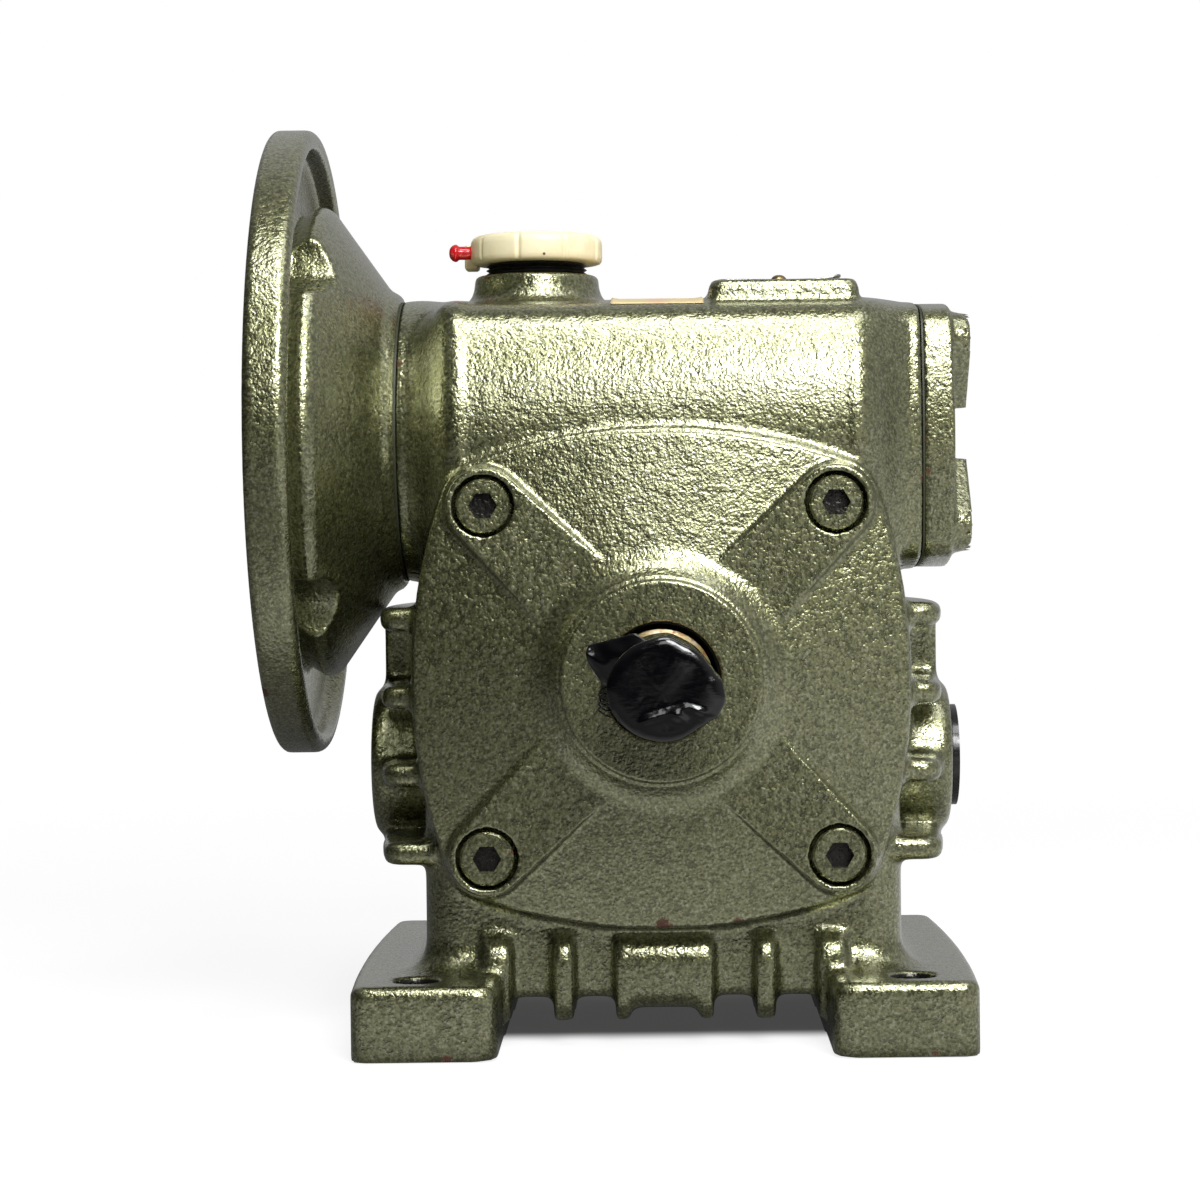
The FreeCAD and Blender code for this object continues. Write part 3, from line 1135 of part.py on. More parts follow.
def make_filler():
    """Lobed oil cap with its lug, ribbed ring gasket, and the vent plug pressed into its side."""
    base = CAP_SEAT_Z
    top = base + CAP_HEIGHT
    edge = CAP_EDGE
    cap = turned([
        (base, 0), (base, CAP_R - edge), (base + edge, CAP_R),
        (top - CAP_ROUND, CAP_R, (top - edge, CAP_R - edge)), (top, CAP_R - CAP_ROUND), (top, CAP_DISC_R),
        (top + CAP_DISC, CAP_DISC_R - CAP_DISC), (top + CAP_DISC, 0)])
    grooves = [rod(CAP_GROOVE_R, base - OVERRUN, top + OVERRUN, x, y)
               for x, y in around(CAP_LOBES, CAP_R + CAP_GROOVE_R / 3, CAP_TURN)]
    lug = block(-CAP_R - CAP_LUG_REACH, -CAP_R + CAP_ROUND, CAP_LUG_LOW_Y, CAP_LUG_LOW_Y + CAP_LUG_WIDTH,
                base + edge, top - CAP_ROUND)
    shank = rod(FILLER_BORE_R - RUN_GAP, FILLER_TOP_Z - CAP_SHANK, base + BITE)
    vent_z = base + CAP_HEIGHT / 2 - edge
    plug_hole = rod(VENT_PIN_R, -VENT_PIN - OVERRUN, CAP_LUG_REACH)
    plug_at = Placement(Vector(-CAP_R, VENT_Y, vent_z), Rotation(Vector(0, 1, 0), -90))
    cap = cap.cut(grooves).fuse([lug, shank]).cut(placed(plug_hole, plug_at))
    cap.translate(Vector(FILLER_X, 0, 0))
    save("filler_cap", cap)
    r = FILLER_GASKET_R
    z = FILLER_TOP_Z
    step = FILLER_GASKET / GASKET_RIBS
    points = [(z, FILLER_BORE_R)]
    for i in range(GASKET_RIBS):
        points += [(z + i * step, r - GASKET_RIB), (z + (i + 0.5) * step, r)]
    points += [(base, r - GASKET_RIB), (base, FILLER_BORE_R)]
    ring = turned(points)
    ring.translate(Vector(FILLER_X, 0, 0))
    save("filler_gasket", ring)
    r = VENT_R
    flange = VENT_FLANGE_R
    neck = VENT_NECK
    end = VENT_LENGTH
    vent = turned([
        (neck, 0), (neck, r), (4 * neck, r), (5 * neck, r + neck), (end - 5 * neck, r + neck),
        (end - 4 * neck, r), (end - 3 * neck, flange), (end - neck, flange), (end, flange - neck), (end, 0)])
    vent = vent.fuse(rod(VENT_PIN_R - RUN_GAP, -VENT_PIN, 2 * neck)).removeSplitter()
    plug_at.Base = plug_at.Base + Vector(FILLER_X, 0, 0)
    save("vent_plug", placed(vent, plug_at))


def rivet_places():
    middle = (PLATE_LOW_X + PLATE_HIGH_X) / 2
    return [(middle, side * (PLATE_HALF_Y - RIVET_INSET)) for side in (-1, 1)]


def make_nameplate():
    z = PAD_TOP_Z
    plate = block(PLATE_LOW_X, PLATE_HIGH_X, -PLATE_HALF_Y, PLATE_HALF_Y, z, z + PLATE_THICKNESS)
    upright = [e for e in plate.Edges if e.BoundBox.ZLength > PLATE_THICKNESS / 2]
    plate = plate.makeFillet(PLATE_CORNER, upright)
    rivets = []
    holes = []
    for x, y in rivet_places():
        crown = (RIVET_HEAD * 0.7, RIVET_R * 0.7)
        head = turned([(0, 0), (0, RIVET_R, crown), (RIVET_HEAD, RIVET_R * 0.3), (RIVET_HEAD, 0)])
        head.translate(Vector(x, y, z + PLATE_THICKNESS))
        pin = rod(RIVET_PIN_R, z - RIVET_DEPTH, z + PLATE_THICKNESS + BITE, x, y)
        rivets.append(head.fuse(pin).removeSplitter())
        holes.append(rod(RIVET_PIN_R + RUN_GAP, z - OVERRUN, z + PLATE_THICKNESS + OVERRUN, x, y))
    save("nameplate", plate.cut(holes))
    save("nameplate_rivets", rivets)


def tape_lap(reach, corner, spread, angle, z0, length):
    """Lap of tape that stands off the sleeve at an angle about local z."""
    lap = prism(tapered_pad(corner, reach - corner, OUTPUT_R / 2, spread, z0, 0.0), length)
    lap.rotate(Vector(0, 0, 0), Vector(0, 0, 1), angle)
    return lap


def make_shaft_tape():
    """Protective tape wrapped over the output shaft, with a loose end and a fold."""
    r = OUTPUT_R + TAPE_THICKNESS
    start = BOSS_FACE + TAPE_BARE
    end = OUTPUT_END + TAPE_END_SKIN
    edge = TAPE_EDGE
    sleeve = turned([
        (start, 0), (start, r), (end - edge, r), (end, r - edge), (end, 0)])
    lap_start = end - TAPE_LAP_SET - TAPE_LAP
    flap = tape_lap(TAPE_FLAP_R, TAPE_FLAP_ROUND, TAPE_FLAP_SPREAD, TAPE_FLAP_ANGLE, lap_start, TAPE_LAP)
    fold_start = start + TAPE_LAP_SET
    fold = tape_lap(TAPE_FOLD_R, TAPE_FOLD_ROUND, TAPE_FLAP_SPREAD, TAPE_FOLD_ANGLE, fold_start,
                    end - edge - fold_start)
    body = sleeve.fuse([flap, fold]).cut(rod(OUTPUT_R, start - OVERRUN, OUTPUT_END))
    save("shaft_tape", placed(body.removeSplitter(), front_at()))


make_casing()
make_output_covers()
make_end_cover()
make_motor_flange()
make_output_group()
make_worm_group()
make_bearings()
make_seals()
make_side_plugs()
make_filler()
make_nameplate()
make_shaft_tape()
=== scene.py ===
import json
import math
import random

import bmesh
import bpy
from mathutils import Matrix, Vector, noise
from mathutils.bvhtree import BVHTree

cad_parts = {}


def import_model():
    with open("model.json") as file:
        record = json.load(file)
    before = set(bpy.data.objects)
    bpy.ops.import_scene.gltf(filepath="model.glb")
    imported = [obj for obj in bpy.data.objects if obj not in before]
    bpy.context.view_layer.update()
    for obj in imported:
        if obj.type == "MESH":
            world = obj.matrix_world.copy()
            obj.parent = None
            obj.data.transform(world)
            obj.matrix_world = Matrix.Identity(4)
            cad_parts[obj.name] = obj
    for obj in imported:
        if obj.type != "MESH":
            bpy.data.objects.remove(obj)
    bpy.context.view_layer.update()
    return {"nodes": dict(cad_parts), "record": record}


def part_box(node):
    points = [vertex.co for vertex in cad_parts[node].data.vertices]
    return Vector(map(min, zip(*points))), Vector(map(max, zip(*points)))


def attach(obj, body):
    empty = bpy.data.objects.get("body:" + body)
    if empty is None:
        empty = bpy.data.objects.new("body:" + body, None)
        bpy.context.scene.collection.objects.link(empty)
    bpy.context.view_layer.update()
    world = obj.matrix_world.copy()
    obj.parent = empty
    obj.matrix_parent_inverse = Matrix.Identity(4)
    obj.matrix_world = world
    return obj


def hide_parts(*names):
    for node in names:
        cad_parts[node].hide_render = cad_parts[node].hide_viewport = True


# Worm gear reducer: finishes, rounded castings, cap, tape, sticker, light and camera.
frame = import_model()
nodes = frame["nodes"]

# Lengths in this script are millimetres times MM, in the frame's metres
MM = 0.001

# Places that the finishes and the added pieces share, in mm
OUTPUT_Z = 90.0
COVER_BOLT_XZ = 60.0 / math.sqrt(2)
FOOT_HOLE_XY = (60.0, 52.5)
CAP_X = -31.0
CAP_PITS_X = (-28.4, -26.6)
CAP_PITS_Y = -16.8
CAP_PITS_Z = 196.6

# Camera that was fitted to the photograph: place in mm, tilt in radians, focal length in pixels
CAMERA_PLACE = (-1.19, -764.07, 122.35)
CAMERA_PITCH = 0.01569
CAMERA_ROLL = -0.0113
CAMERA_FOCAL = 2948.5
CAMERA_CENTRE = (655.5, 592.2)
IMAGE = 1200.0
SENSOR = 36.0

# Colours, linear
OLIVE = (0.236, 0.243, 0.112)
OLIVE_DARK = (0.050, 0.054, 0.019)
OLIVE_LIGHT = (0.520, 0.520, 0.380)
GASKET_OLIVE = (0.030, 0.033, 0.014)
RUST = (0.055, 0.020, 0.010)
RUST_LIGHT = (0.120, 0.050, 0.020)
BLACK = (0.010, 0.010, 0.010)
CREAM = (0.940, 0.850, 0.580)
CREAM_SHADE = (0.820, 0.660, 0.380)
RED = (0.560, 0.010, 0.015)
STICKER = (0.800, 0.640, 0.330)
STICKER_FIBRE = (0.700, 0.520, 0.220)
STICKER_BAND = (0.800, 0.460, 0.300)
BRONZE = (0.520, 0.300, 0.090)
IRON = (0.120, 0.120, 0.115)
# Painted shade: a dark colour inside the cover screws' sockets and the casing's foot holes
PAINTED_RECESS_SHADE = (0.050, 0.048, 0.044)
WHITE = (1.0, 1.0, 1.0)

# Paint: sizes of its grain and relief in mm, shares of each relief, and its gloss
GRAIN_MM = 0.66
PEBBLES_MM = 1.4
CASTING_MM = 10.0
PEBBLES_SHARE = 1.2
CASTING_SHARE = 2.5
PAINT_RELIEF_MM = 0.135
COAT_RELIEF_MM = 0.10
PAINT_METALLIC = 0.90
PAINT_ROUGHNESS = (0.25, 0.32)
COAT_ROUGHNESS = 0.16
COAT_IOR = 1.70


def rgba(color):
    return (color[0], color[1], color[2], 1.0)


def new_material(name):
    material = bpy.data.materials.new(name)
    material.use_nodes = True
    material.node_tree.nodes.clear()
    return material, material.node_tree


def add(tree, kind, values=None, **settings):
    """One shader node: settings are its properties, values its inputs, a socket there is linked."""
    node = tree.nodes.new(kind)
    for key, value in settings.items():
        setattr(node, key, value)
    for key, value in (values or {}).items():
        if isinstance(value, bpy.types.NodeSocket):
            tree.links.new(value, node.inputs[key])
        else:
            node.inputs[key].default_value = value
    return node


def object_place(tree):
    return add(tree, "ShaderNodeTexCoord").outputs["Object"]


def noise_value(tree, place, size_mm, detail=2.0, roughness=0.5, distortion=0.0):
    """Noise from 0 to 1 whose features are about size_mm across."""
    values = {"Vector": place, "Scale": 1.0 / (size_mm * MM), "Detail": detail,
              "Roughness": roughness, "Distortion": distortion}
    return add(tree, "ShaderNodeTexNoise", values).outputs["Fac"]


def math_node(tree, operation, a, b=0.0, c=0.0, clamp=False):
    node = add(tree, "ShaderNodeMath", {0: a, 1: b, 2: c}, operation=operation)
    node.use_clamp = clamp
    return node.outputs[0]


def smooth_range(tree, value, low, high, out_low=0.0, out_high=1.0):
    values = {"Value": value, "From Min": low, "From Max": high,
              "To Min": out_low, "To Max": out_high}
    node = add(tree, "ShaderNodeMapRange", values, interpolation_type="SMOOTHSTEP")
    return node.outputs["Result"]


def axes(tree, place):
    """Outputs X, Y and Z of a place."""
    return add(tree, "ShaderNodeSeparateXYZ", {"Vector": place}).outputs


def distance(tree, place, point):
    node = add(tree, "ShaderNodeVectorMath", {0: place, 1: point}, operation="DISTANCE")
    return node.outputs["Value"]


def mix_color(tree, factor, a, b):
    node = add(tree, "ShaderNodeMix", data_type="RGBA")
    for index, value in ((0, factor), (6, a), (7, b)):
        if isinstance(value, bpy.types.NodeSocket):
            tree.links.new(value, node.inputs[index])
        else:
            node.inputs[index].default_value = value if index == 0 else rgba(value)
    return node.outputs[2]


def bump(tree, height, distance_mm):
    values = {"Height": height, "Distance": distance_mm * MM, "Strength": 1.0}
    return add(tree, "ShaderNodeBump", values).outputs["Normal"]


def finish_material(tree, color, roughness, metallic=0.0, normal=None, **more):
    """Principled shader and output: more holds other sockets with spaces written as underscores."""
    values = {"Base Color": color if isinstance(color, bpy.types.NodeSocket) else rgba(color),
              "Roughness": roughness, "Metallic": metallic}
    if normal is not None:
        values["Normal"] = normal
    for key, value in more.items():
        values[key.replace("_", " ")] = value
    shader = add(tree, "ShaderNodeBsdfPrincipled", values)
    add(tree, "ShaderNodeOutputMaterial", {"Surface": shader.outputs["BSDF"]})


def emission(tree, strength):
    return add(tree, "ShaderNodeEmission", {"Color": rgba(WHITE), "Strength": strength}).outputs[0]


def spots_mask(tree, place, spots):
    """Mask that is 1 near any of the spots, (x, y, z, radius) in mm, with ragged edges."""
    ragged = noise_value(tree, place, 1.6, 3.0, 0.65)
    mask = None
    for x, y, z, radius in spots:
        near = smooth_range(tree, distance(tree, place, (x * MM, y * MM, z * MM)), radius * MM, 0.0)
        mask = near if mask is None else math_node(tree, "MAXIMUM", mask, near)
    patchy = math_node(tree, "MULTIPLY_ADD", ragged, 1.6, -0.95)
    total = math_node(tree, "ADD", mask, patchy)
    edge = smooth_range(tree, total, 0.42, 0.58)
    return math_node(tree, "MULTIPLY", edge, smooth_range(tree, mask, 0.0, 0.2))


def hammertone(name, spots=(), shade_mask=None):
    """Olive hammer-finish paint: fine metallic grains under a clear coat, with a few rust spots,
    and a painted shade, dark and without coat, where the shade mask is 1.
    """
    material, tree = new_material(name)
    place = object_place(tree)
    grain = noise_value(tree, place, GRAIN_MM, 1.0)
    pebbles = noise_value(tree, place, PEBBLES_MM, 1.0)
    casting = noise_value(tree, place, CASTING_MM)
    height = math_node(tree, "MULTIPLY_ADD", pebbles, PEBBLES_SHARE, grain)
    height = math_node(tree, "MULTIPLY_ADD", casting, CASTING_SHARE, height)
    normal = bump(tree, height, PAINT_RELIEF_MM)
    dark = smooth_range(tree, grain, 0.50, 0.30)
    light = smooth_range(tree, grain, 0.53, 0.72)
    veins = smooth_range(tree, pebbles, 0.47, 0.36, 0.0, 0.55)
    dark = math_node(tree, "MAXIMUM", math_node(tree, "MULTIPLY", dark, 0.65), veins)
    color = mix_color(tree, dark, OLIVE, OLIVE_DARK)
    color = mix_color(tree, math_node(tree, "MULTIPLY", light, 0.55), color, OLIVE_LIGHT)
    roughness = smooth_range(tree, pebbles, 0.3, 0.7, *PAINT_ROUGHNESS)
    metallic = PAINT_METALLIC
    coat = 1.0
    if spots:
        rust = spots_mask(tree, place, spots)
        speckle = smooth_range(tree, noise_value(tree, place, 0.5, 3.0), 0.35, 0.7)
        rust_color = mix_color(tree, speckle, RUST, RUST_LIGHT)
        color = mix_color(tree, rust, color, rust_color)
        roughness = math_node(tree, "MULTIPLY_ADD", rust, 0.5, roughness)
        metallic = math_node(tree, "MULTIPLY_ADD", rust, -0.85, metallic)
        coat = math_node(tree, "MULTIPLY_ADD", rust, -0.7, coat)
    # Painted shade: the sockets and foot holes turn dark and lose their coat
    if shade_mask is not None:
        recess_shade = shade_mask(tree, place)
        color = mix_color(tree, recess_shade, color, PAINTED_RECESS_SHADE)
        coat = math_node(tree, "MULTIPLY", coat, math_node(tree, "SUBTRACT", 1.0, recess_shade))
    finish_material(tree, color, roughness, metallic, normal, Coat_Weight=coat,
                    Coat_Roughness=COAT_ROUGHNESS, Coat_IOR=COAT_IOR,
                    Coat_Normal=bump(tree, height, COAT_RELIEF_MM))
    return material


def distance_from_four(tree, first, second, middles):
    """Distance from the nearest of four axes, at plus and minus the middles (mm)."""
    squares = []
    for value, middle in zip((first, second), middles):
        away = math_node(tree, "SUBTRACT", math_node(tree, "ABSOLUTE", value), middle * MM)
        squares.append(math_node(tree, "POWER", away, 2.0))
    return math_node(tree, "SQRT", math_node(tree, "ADD", *squares))


def foot_hole_shade_mask(tree, place):
    """Where the painted shade goes: 1 inside the drilled foot holes, below their upper edge."""
    parts = axes(tree, place)
    away = distance_from_four(tree, parts["X"], parts["Y"], FOOT_HOLE_XY)
    inside = smooth_range(tree, away, 5.9 * MM, 5.7 * MM)
    below = smooth_range(tree, parts["Z"], 17.7 * MM, 17.3 * MM)
    return math_node(tree, "MULTIPLY", inside, below)


def cover_socket_shade_mask(tree, place):
    """Where the painted shade goes: 1 inside the hexagon sockets of the cover screws, which lie on
    both diagonals.
    """
    parts = axes(tree, place)
    up = math_node(tree, "SUBTRACT", parts["Z"], OUTPUT_Z * MM)
    away = distance_from_four(tree, parts["X"], up, (COVER_BOLT_XZ, COVER_BOLT_XZ))
    inside = smooth_range(tree, away, 3.75 * MM, 3.55 * MM)
    depth = math_node(tree, "ABSOLUTE", parts["Y"])
    deep = smooth_range(tree, depth, 56.75 * MM, 56.45 * MM)
    return math_node(tree, "MULTIPLY", inside, deep)


def metal(name, color, roughness=0.3, scratch_mm=0.8, spots=(), bump_mm=0.02):
    material, tree = new_material(name)
    place = object_place(tree)
    stretched = add(tree, "ShaderNodeMapping", {"Vector": place, "Scale": (1.0, 6.0, 1.0)})
    lines = noise_value(tree, stretched.outputs["Vector"], scratch_mm, 3.0, 0.6)
    blotch = noise_value(tree, place, 9.0, 2.0)
    shade = tuple(c * 0.62 for c in color)
    tone = mix_color(tree, smooth_range(tree, lines, 0.3, 0.75), color, shade)
    tone = mix_color(tree, smooth_range(tree, blotch, 0.5, 0.85, 0.0, 0.35), tone, shade)
    rough = smooth_range(tree, lines, 0.2, 0.8, roughness * 0.8, roughness * 1.3)
    metallic = 1.0
    if spots:
        rust = spots_mask(tree, place, spots)
        tone = mix_color(tree, rust, tone, RUST_LIGHT)
        metallic = math_node(tree, "SUBTRACT", 1.0, rust)
    finish_material(tree, tone, rough, metallic, bump(tree, lines, bump_mm))
    return material


def rusty_shaft():
    """Ground steel with yellow preserving grease and rust on the ring beside the cover bore."""
    material, tree = new_material("shaft_steel")
    place = object_place(tree)
    lines = noise_value(tree, place, 0.7, 3.0, 0.6)
    film = smooth_range(tree, noise_value(tree, place, 4.0, 3.0), 0.35, 0.62)
    rust = smooth_range(tree, noise_value(tree, place, 2.2, 4.0, 0.7), 0.52, 0.66)
    tone = mix_color(tree, film, (0.36, 0.27, 0.12), (0.40, 0.36, 0.27))
    tone = mix_color(tree, rust, tone, (0.20, 0.075, 0.018))
    rough = smooth_range(tree, lines, 0.2, 0.8, 0.28, 0.5)
    metallic = math_node(tree, "MULTIPLY_ADD", rust, -0.7, 0.9)
    finish_material(tree, tone, rough, metallic, bump(tree, lines, 0.05))
    return material


def rubber(name, color, roughness=0.55):
    material, tree = new_material(name)
    place = object_place(tree)
    grain = noise_value(tree, place, 0.5, 2.0)
    dust = smooth_range(tree, noise_value(tree, place, 6.0, 3.0), 0.45, 0.8, 0.0, 0.4)
    tone = mix_color(tree, dust, color, tuple(c + 0.02 for c in color))
    rough = smooth_range(tree, grain, 0.2, 0.8, roughness - 0.1, roughness + 0.1)
    finish_material(tree, tone, rough, 0.0, bump(tree, grain, 0.03))
    return material


def cream_plastic():
    """Aged cream plastic: slightly mottled, with a painted shade low on the skirt, and two tiny
    sprue pits.
    """
    material, tree = new_material("cream_plastic")
    place = object_place(tree)
    mottled = smooth_range(tree, noise_value(tree, place, 5.0, 3.0, 0.6), 0.4, 0.75, 0.0, 0.45)
    # Painted shade: the skirt darkens towards its bottom
    low = smooth_range(tree, axes(tree, place)["Z"], 198.0 * MM, 195.2 * MM, 0.0, 0.35)
    tone = mix_color(tree, mottled, CREAM, CREAM_SHADE)
    tone = mix_color(tree, low, tone, CREAM_SHADE)
    pits = None
    for x in CAP_PITS_X:
        away = distance(tree, place, (x * MM, CAP_PITS_Y * MM, CAP_PITS_Z * MM))
        one = smooth_range(tree, away, 0.45 * MM, 0.25 * MM)
        pits = one if pits is None else math_node(tree, "MAXIMUM", pits, one)
    tone = mix_color(tree, pits, tone, (0.10, 0.03, 0.005))
    grain = noise_value(tree, place, 0.9, 3.0)
    finish_material(tree, tone, 0.36, 0.0, bump(tree, grain, 0.02), Subsurface_Weight=0.12,
                    Subsurface_Radius=(0.004, 0.0025, 0.0012), Specular_IOR_Level=0.5)
    return material


def glossy_plastic(name, color, roughness=0.18, wrinkles_mm=0.0):
    material, tree = new_material(name)
    place = object_place(tree)
    grain = noise_value(tree, place, 1.3, 3.0)
    shade = tuple(c * 0.6 for c in color)
    tone = mix_color(tree, smooth_range(tree, grain, 0.4, 0.8, 0.0, 0.5), color, shade)
    height = grain
    depth = 0.03
    if wrinkles_mm > 0:
        stretched = add(tree, "ShaderNodeMapping", {"Vector": place, "Rotation": (0.0, 0.6, 0.0),
                                                    "Scale": (1.0, 1.0, 3.2)}).outputs["Vector"]
        height = noise_value(tree, stretched, wrinkles_mm, 3.0, 0.5, 0.8)
        depth = 0.05
    rough = smooth_range(tree, grain, 0.3, 0.8, roughness * 0.8, roughness * 1.6)
    finish_material(tree, tone, rough, 0.0, bump(tree, height, depth), Coat_Weight=0.25,
                    Coat_Roughness=0.06)
    return material


def clear_glass():
    material, tree = new_material("sight_glass")
    place = object_place(tree)
    haze = noise_value(tree, place, 6.0, 2.0)
    tone = mix_color(tree, haze, (0.80, 0.86, 0.80), (0.70, 0.74, 0.62))
    finish_material(tree, tone, smooth_range(tree, haze, 0.3, 0.8, 0.03, 0.12), 0.0, None,
                    Transmission_Weight=0.9, IOR=1.49)
    return material


def paper():
    """Blank pale label with a faint warm band along its middle."""
    material, tree = new_material("blank_label")
    place = object_place(tree)
    across = math_node(tree, "ABSOLUTE", axes(tree, place)["X"])
    band = smooth_range(tree, across, 4.0 * MM, 1.0 * MM, 0.0, 0.5)
    fibre = noise_value(tree, place, 0.6, 3.0)
    fibres = smooth_range(tree, fibre, 0.3, 0.8, 0.0, 0.3)
    tone = mix_color(tree, fibres, STICKER, STICKER_FIBRE)
    tone = mix_color(tree, band, tone, STICKER_BAND)
    finish_material(tree, tone, 0.42, 0.0, bump(tree, fibre, 0.02), Coat_Weight=0.3,
                    Coat_Roughness=0.2)
    return material


# Rust spots in mm, where the photograph shows them
CASING_RUST = (
    (-38.5, -64.5, 16.0, 3.0), (39.0, -64.0, 4.0, 3.5), (-52.0, -65.0, 1.0, 2.5),
    (66.0, -20.0, 150.0, 3.5), (66.0, -34.0, 138.0, 3.0), (-39.5, -65.0, 8.0, 2.5),
    (64.0, -64.0, 1.0, 3.0), (-75.0, -60.0, 2.0, 3.0), (-64.5, -30.0, 168.0, 3.0))
COVER_RUST = (
    (-36.0, -57.0, 49.0, 2.4), (0.0, -53.0, 30.5, 4.0), (18.0, -53.5, 31.0, 3.0),
    (-20.0, -53.5, 31.0, 2.6))
FLANGE_RUST = ((-84.0, -46.0, 188.0, 3.2), (-87.0, -60.0, 172.0, 2.2), (-96.5, -50.0, 88.0, 3.5))
END_RUST = ((66.5, -33.0, 152.0, 2.6), (66.5, -33.0, 148.0, 2.0), (66.5, -33.5, 140.0, 1.8))


def node_materials():
    """Record slot name to material, for the CAD nodes that stay."""
    return {
        "paint": hammertone("paint_bolts", COVER_RUST, cover_socket_shade_mask),
        "gasket": rubber("gasket_paper", GASKET_OLIVE, 0.5),
        "black_rubber": rubber("black_rubber", BLACK, 0.42),
        "bearing_steel": metal("bearing_steel", (0.50, 0.50, 0.51), 0.16),
        "cage_steel": metal("cage_steel", (0.36, 0.36, 0.36), 0.34),
        "ground_steel": rusty_shaft(),
        "dark_steel": metal("dark_steel", (0.060, 0.058, 0.056), 0.42),
        "copper": metal("copper_washer", (0.62, 0.27, 0.12), 0.3),
        "bronze": metal("bronze_rim", BRONZE, 0.28),
        "iron": metal("cast_iron_hub", IRON, 0.55, 1.5, (), 0.1),
        "black_plastic": glossy_plastic("black_plastic", BLACK, 0.22),
        "clear_glass": clear_glass(),
        "cream_plastic": cream_plastic(),
        "red_plastic": glossy_plastic("red_plastic", RED, 0.14),
        "plate_metal": metal("plate_metal", (0.56, 0.55, 0.52), 0.3),
        "rivet_metal": metal("rivet_brass", (0.42, 0.30, 0.13), 0.32),
        "black_tape": glossy_plastic("black_tape", (0.0016, 0.0016, 0.0022), 0.12, 5.0),
    }


def dress_nodes(materials):
    """Each CAD node takes the material of its slot."""
    for part in frame["record"]["subparts"]:
        obj = nodes[part["node"]]
        if not obj.material_slots:
            obj.data.materials.append(None)
        for slot in obj.material_slots:
            slot.link = "OBJECT"
            slot.material = materials[part["material_slot"]]


def link(mesh_or_object, name=None):
    """Puts an object, or a mesh as an object of that name, in the scene."""
    obj = mesh_or_object
    if isinstance(mesh_or_object, bpy.types.Mesh):
        obj = bpy.data.objects.new(name, mesh_or_object)
    bpy.context.scene.collection.objects.link(obj)
    return obj


def clamp(value):
    return min(1.0, max(0.0, value))


def turn(i, count):
    """Angle of step i of count round a circle."""
    return 2 * math.pi * i / count


def apply_modifiers(obj):
    """Bakes the object's modifiers into its mesh."""
    graph = bpy.context.evaluated_depsgraph_get()
    mesh = bpy.data.meshes.new_from_object(obj.evaluated_get(graph))
    obj.modifiers.clear()
    old = obj.data
    obj.data = mesh
    bpy.data.meshes.remove(old)
    return obj


def thicken(obj, thickness_mm):
    """Gives a sheet its thickness, half of it to each side."""
    thick = obj.modifiers.new("thickness", "SOLIDIFY")
    thick.thickness = thickness_mm * MM
    thick.offset = 0.0


def smooth_shade(obj):
    for polygon in obj.data.polygons:
        polygon.use_smooth = True


# Where the casting is rounder than its solid: the fins and the belly ribs, mm
FINS_X = (50.0, 54.0)
FINS_TOP = (112.0, 108.0)
FINS_FOOT = (24.0, 30.0)
RIBS_X = (46.0, 43.0)
RIBS_TOP = (38.0, 34.0)
RIBS_Y = (26.0, 30.0)
SOFT_ROUNDS = 22


def between(value, edges):
    """0 up to the first edge and 1 from the second."""
    return clamp((value - edges[0]) / (edges[1] - edges[0]))


def soften(obj):
    """More rounding on the cooling fins and the belly ribs, whose cores were small and rough."""
    group = obj.vertex_groups.new(name="soft")
    for vert in obj.data.vertices:
        x = abs(vert.co.x) / MM
        z = vert.co.z / MM
        fins = between(x, FINS_X) * between(z, FINS_TOP) * between(z, FINS_FOOT)
        ribs = between(x, RIBS_X) * between(z, RIBS_TOP) * between(abs(vert.co.y) / MM, RIBS_Y)
        weight = max(fins, ribs)
        if weight > 0.0:
            group.add([vert.index], weight, "REPLACE")
    ease = obj.modifiers.new("softened", "SMOOTH")
    ease.factor = 0.5
    ease.iterations = SOFT_ROUNDS
    ease.vertex_group = "soft"
    apply_modifiers(obj)
    obj.vertex_groups.clear()


def cast_skin(node, material, voxel_mm, rounds):
    """Casting with rounded edges and coved corners: the node's own shape, remeshed and eased."""
    mesh = nodes[node].data.copy()
    mesh.materials.clear()
    work = bmesh.new()
    work.from_mesh(mesh)
    bmesh.ops.remove_doubles(work, verts=work.verts, dist=0.002 * MM)
    work.to_mesh(mesh)
    work.free()
    obj = link(mesh, node + "_casting")
    remesh = obj.modifiers.new("even_mesh", "REMESH")
    remesh.mode = "VOXEL"
    remesh.voxel_size = voxel_mm * MM
    remesh.use_smooth_shade = True
    ease = obj.modifiers.new("eased_edges", "SMOOTH")
    ease.factor = 0.5
    ease.iterations = rounds
    apply_modifiers(obj)
    if node == "casing":
        soften(obj)
    smooth_shade(obj)
    obj.data.materials.append(material)
    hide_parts(node)
    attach(obj, "housing")
    return obj


# Cast step round the shaft boss of the cover, mm
BOSS_STEP_R = 24.6
BOSS_STEP_HALF = 0.42
BOSS_STEP_DEPTH = 0.55
BOSS_STEP_Y = 57.0


def boss_step(cover):
    """Sharp crease where the boss stands on the cover's dome."""
    for vert in cover.data.vertices:
        if abs(vert.co.y) < BOSS_STEP_Y * MM:
            continue
        r = math.hypot(vert.co.x, vert.co.z - OUTPUT_Z * MM) / MM
        sink = BOSS_STEP_DEPTH * MM * math.exp(-((r - BOSS_STEP_R) / BOSS_STEP_HALF) ** 2)
        vert.co.y -= math.copysign(sink, vert.co.y)


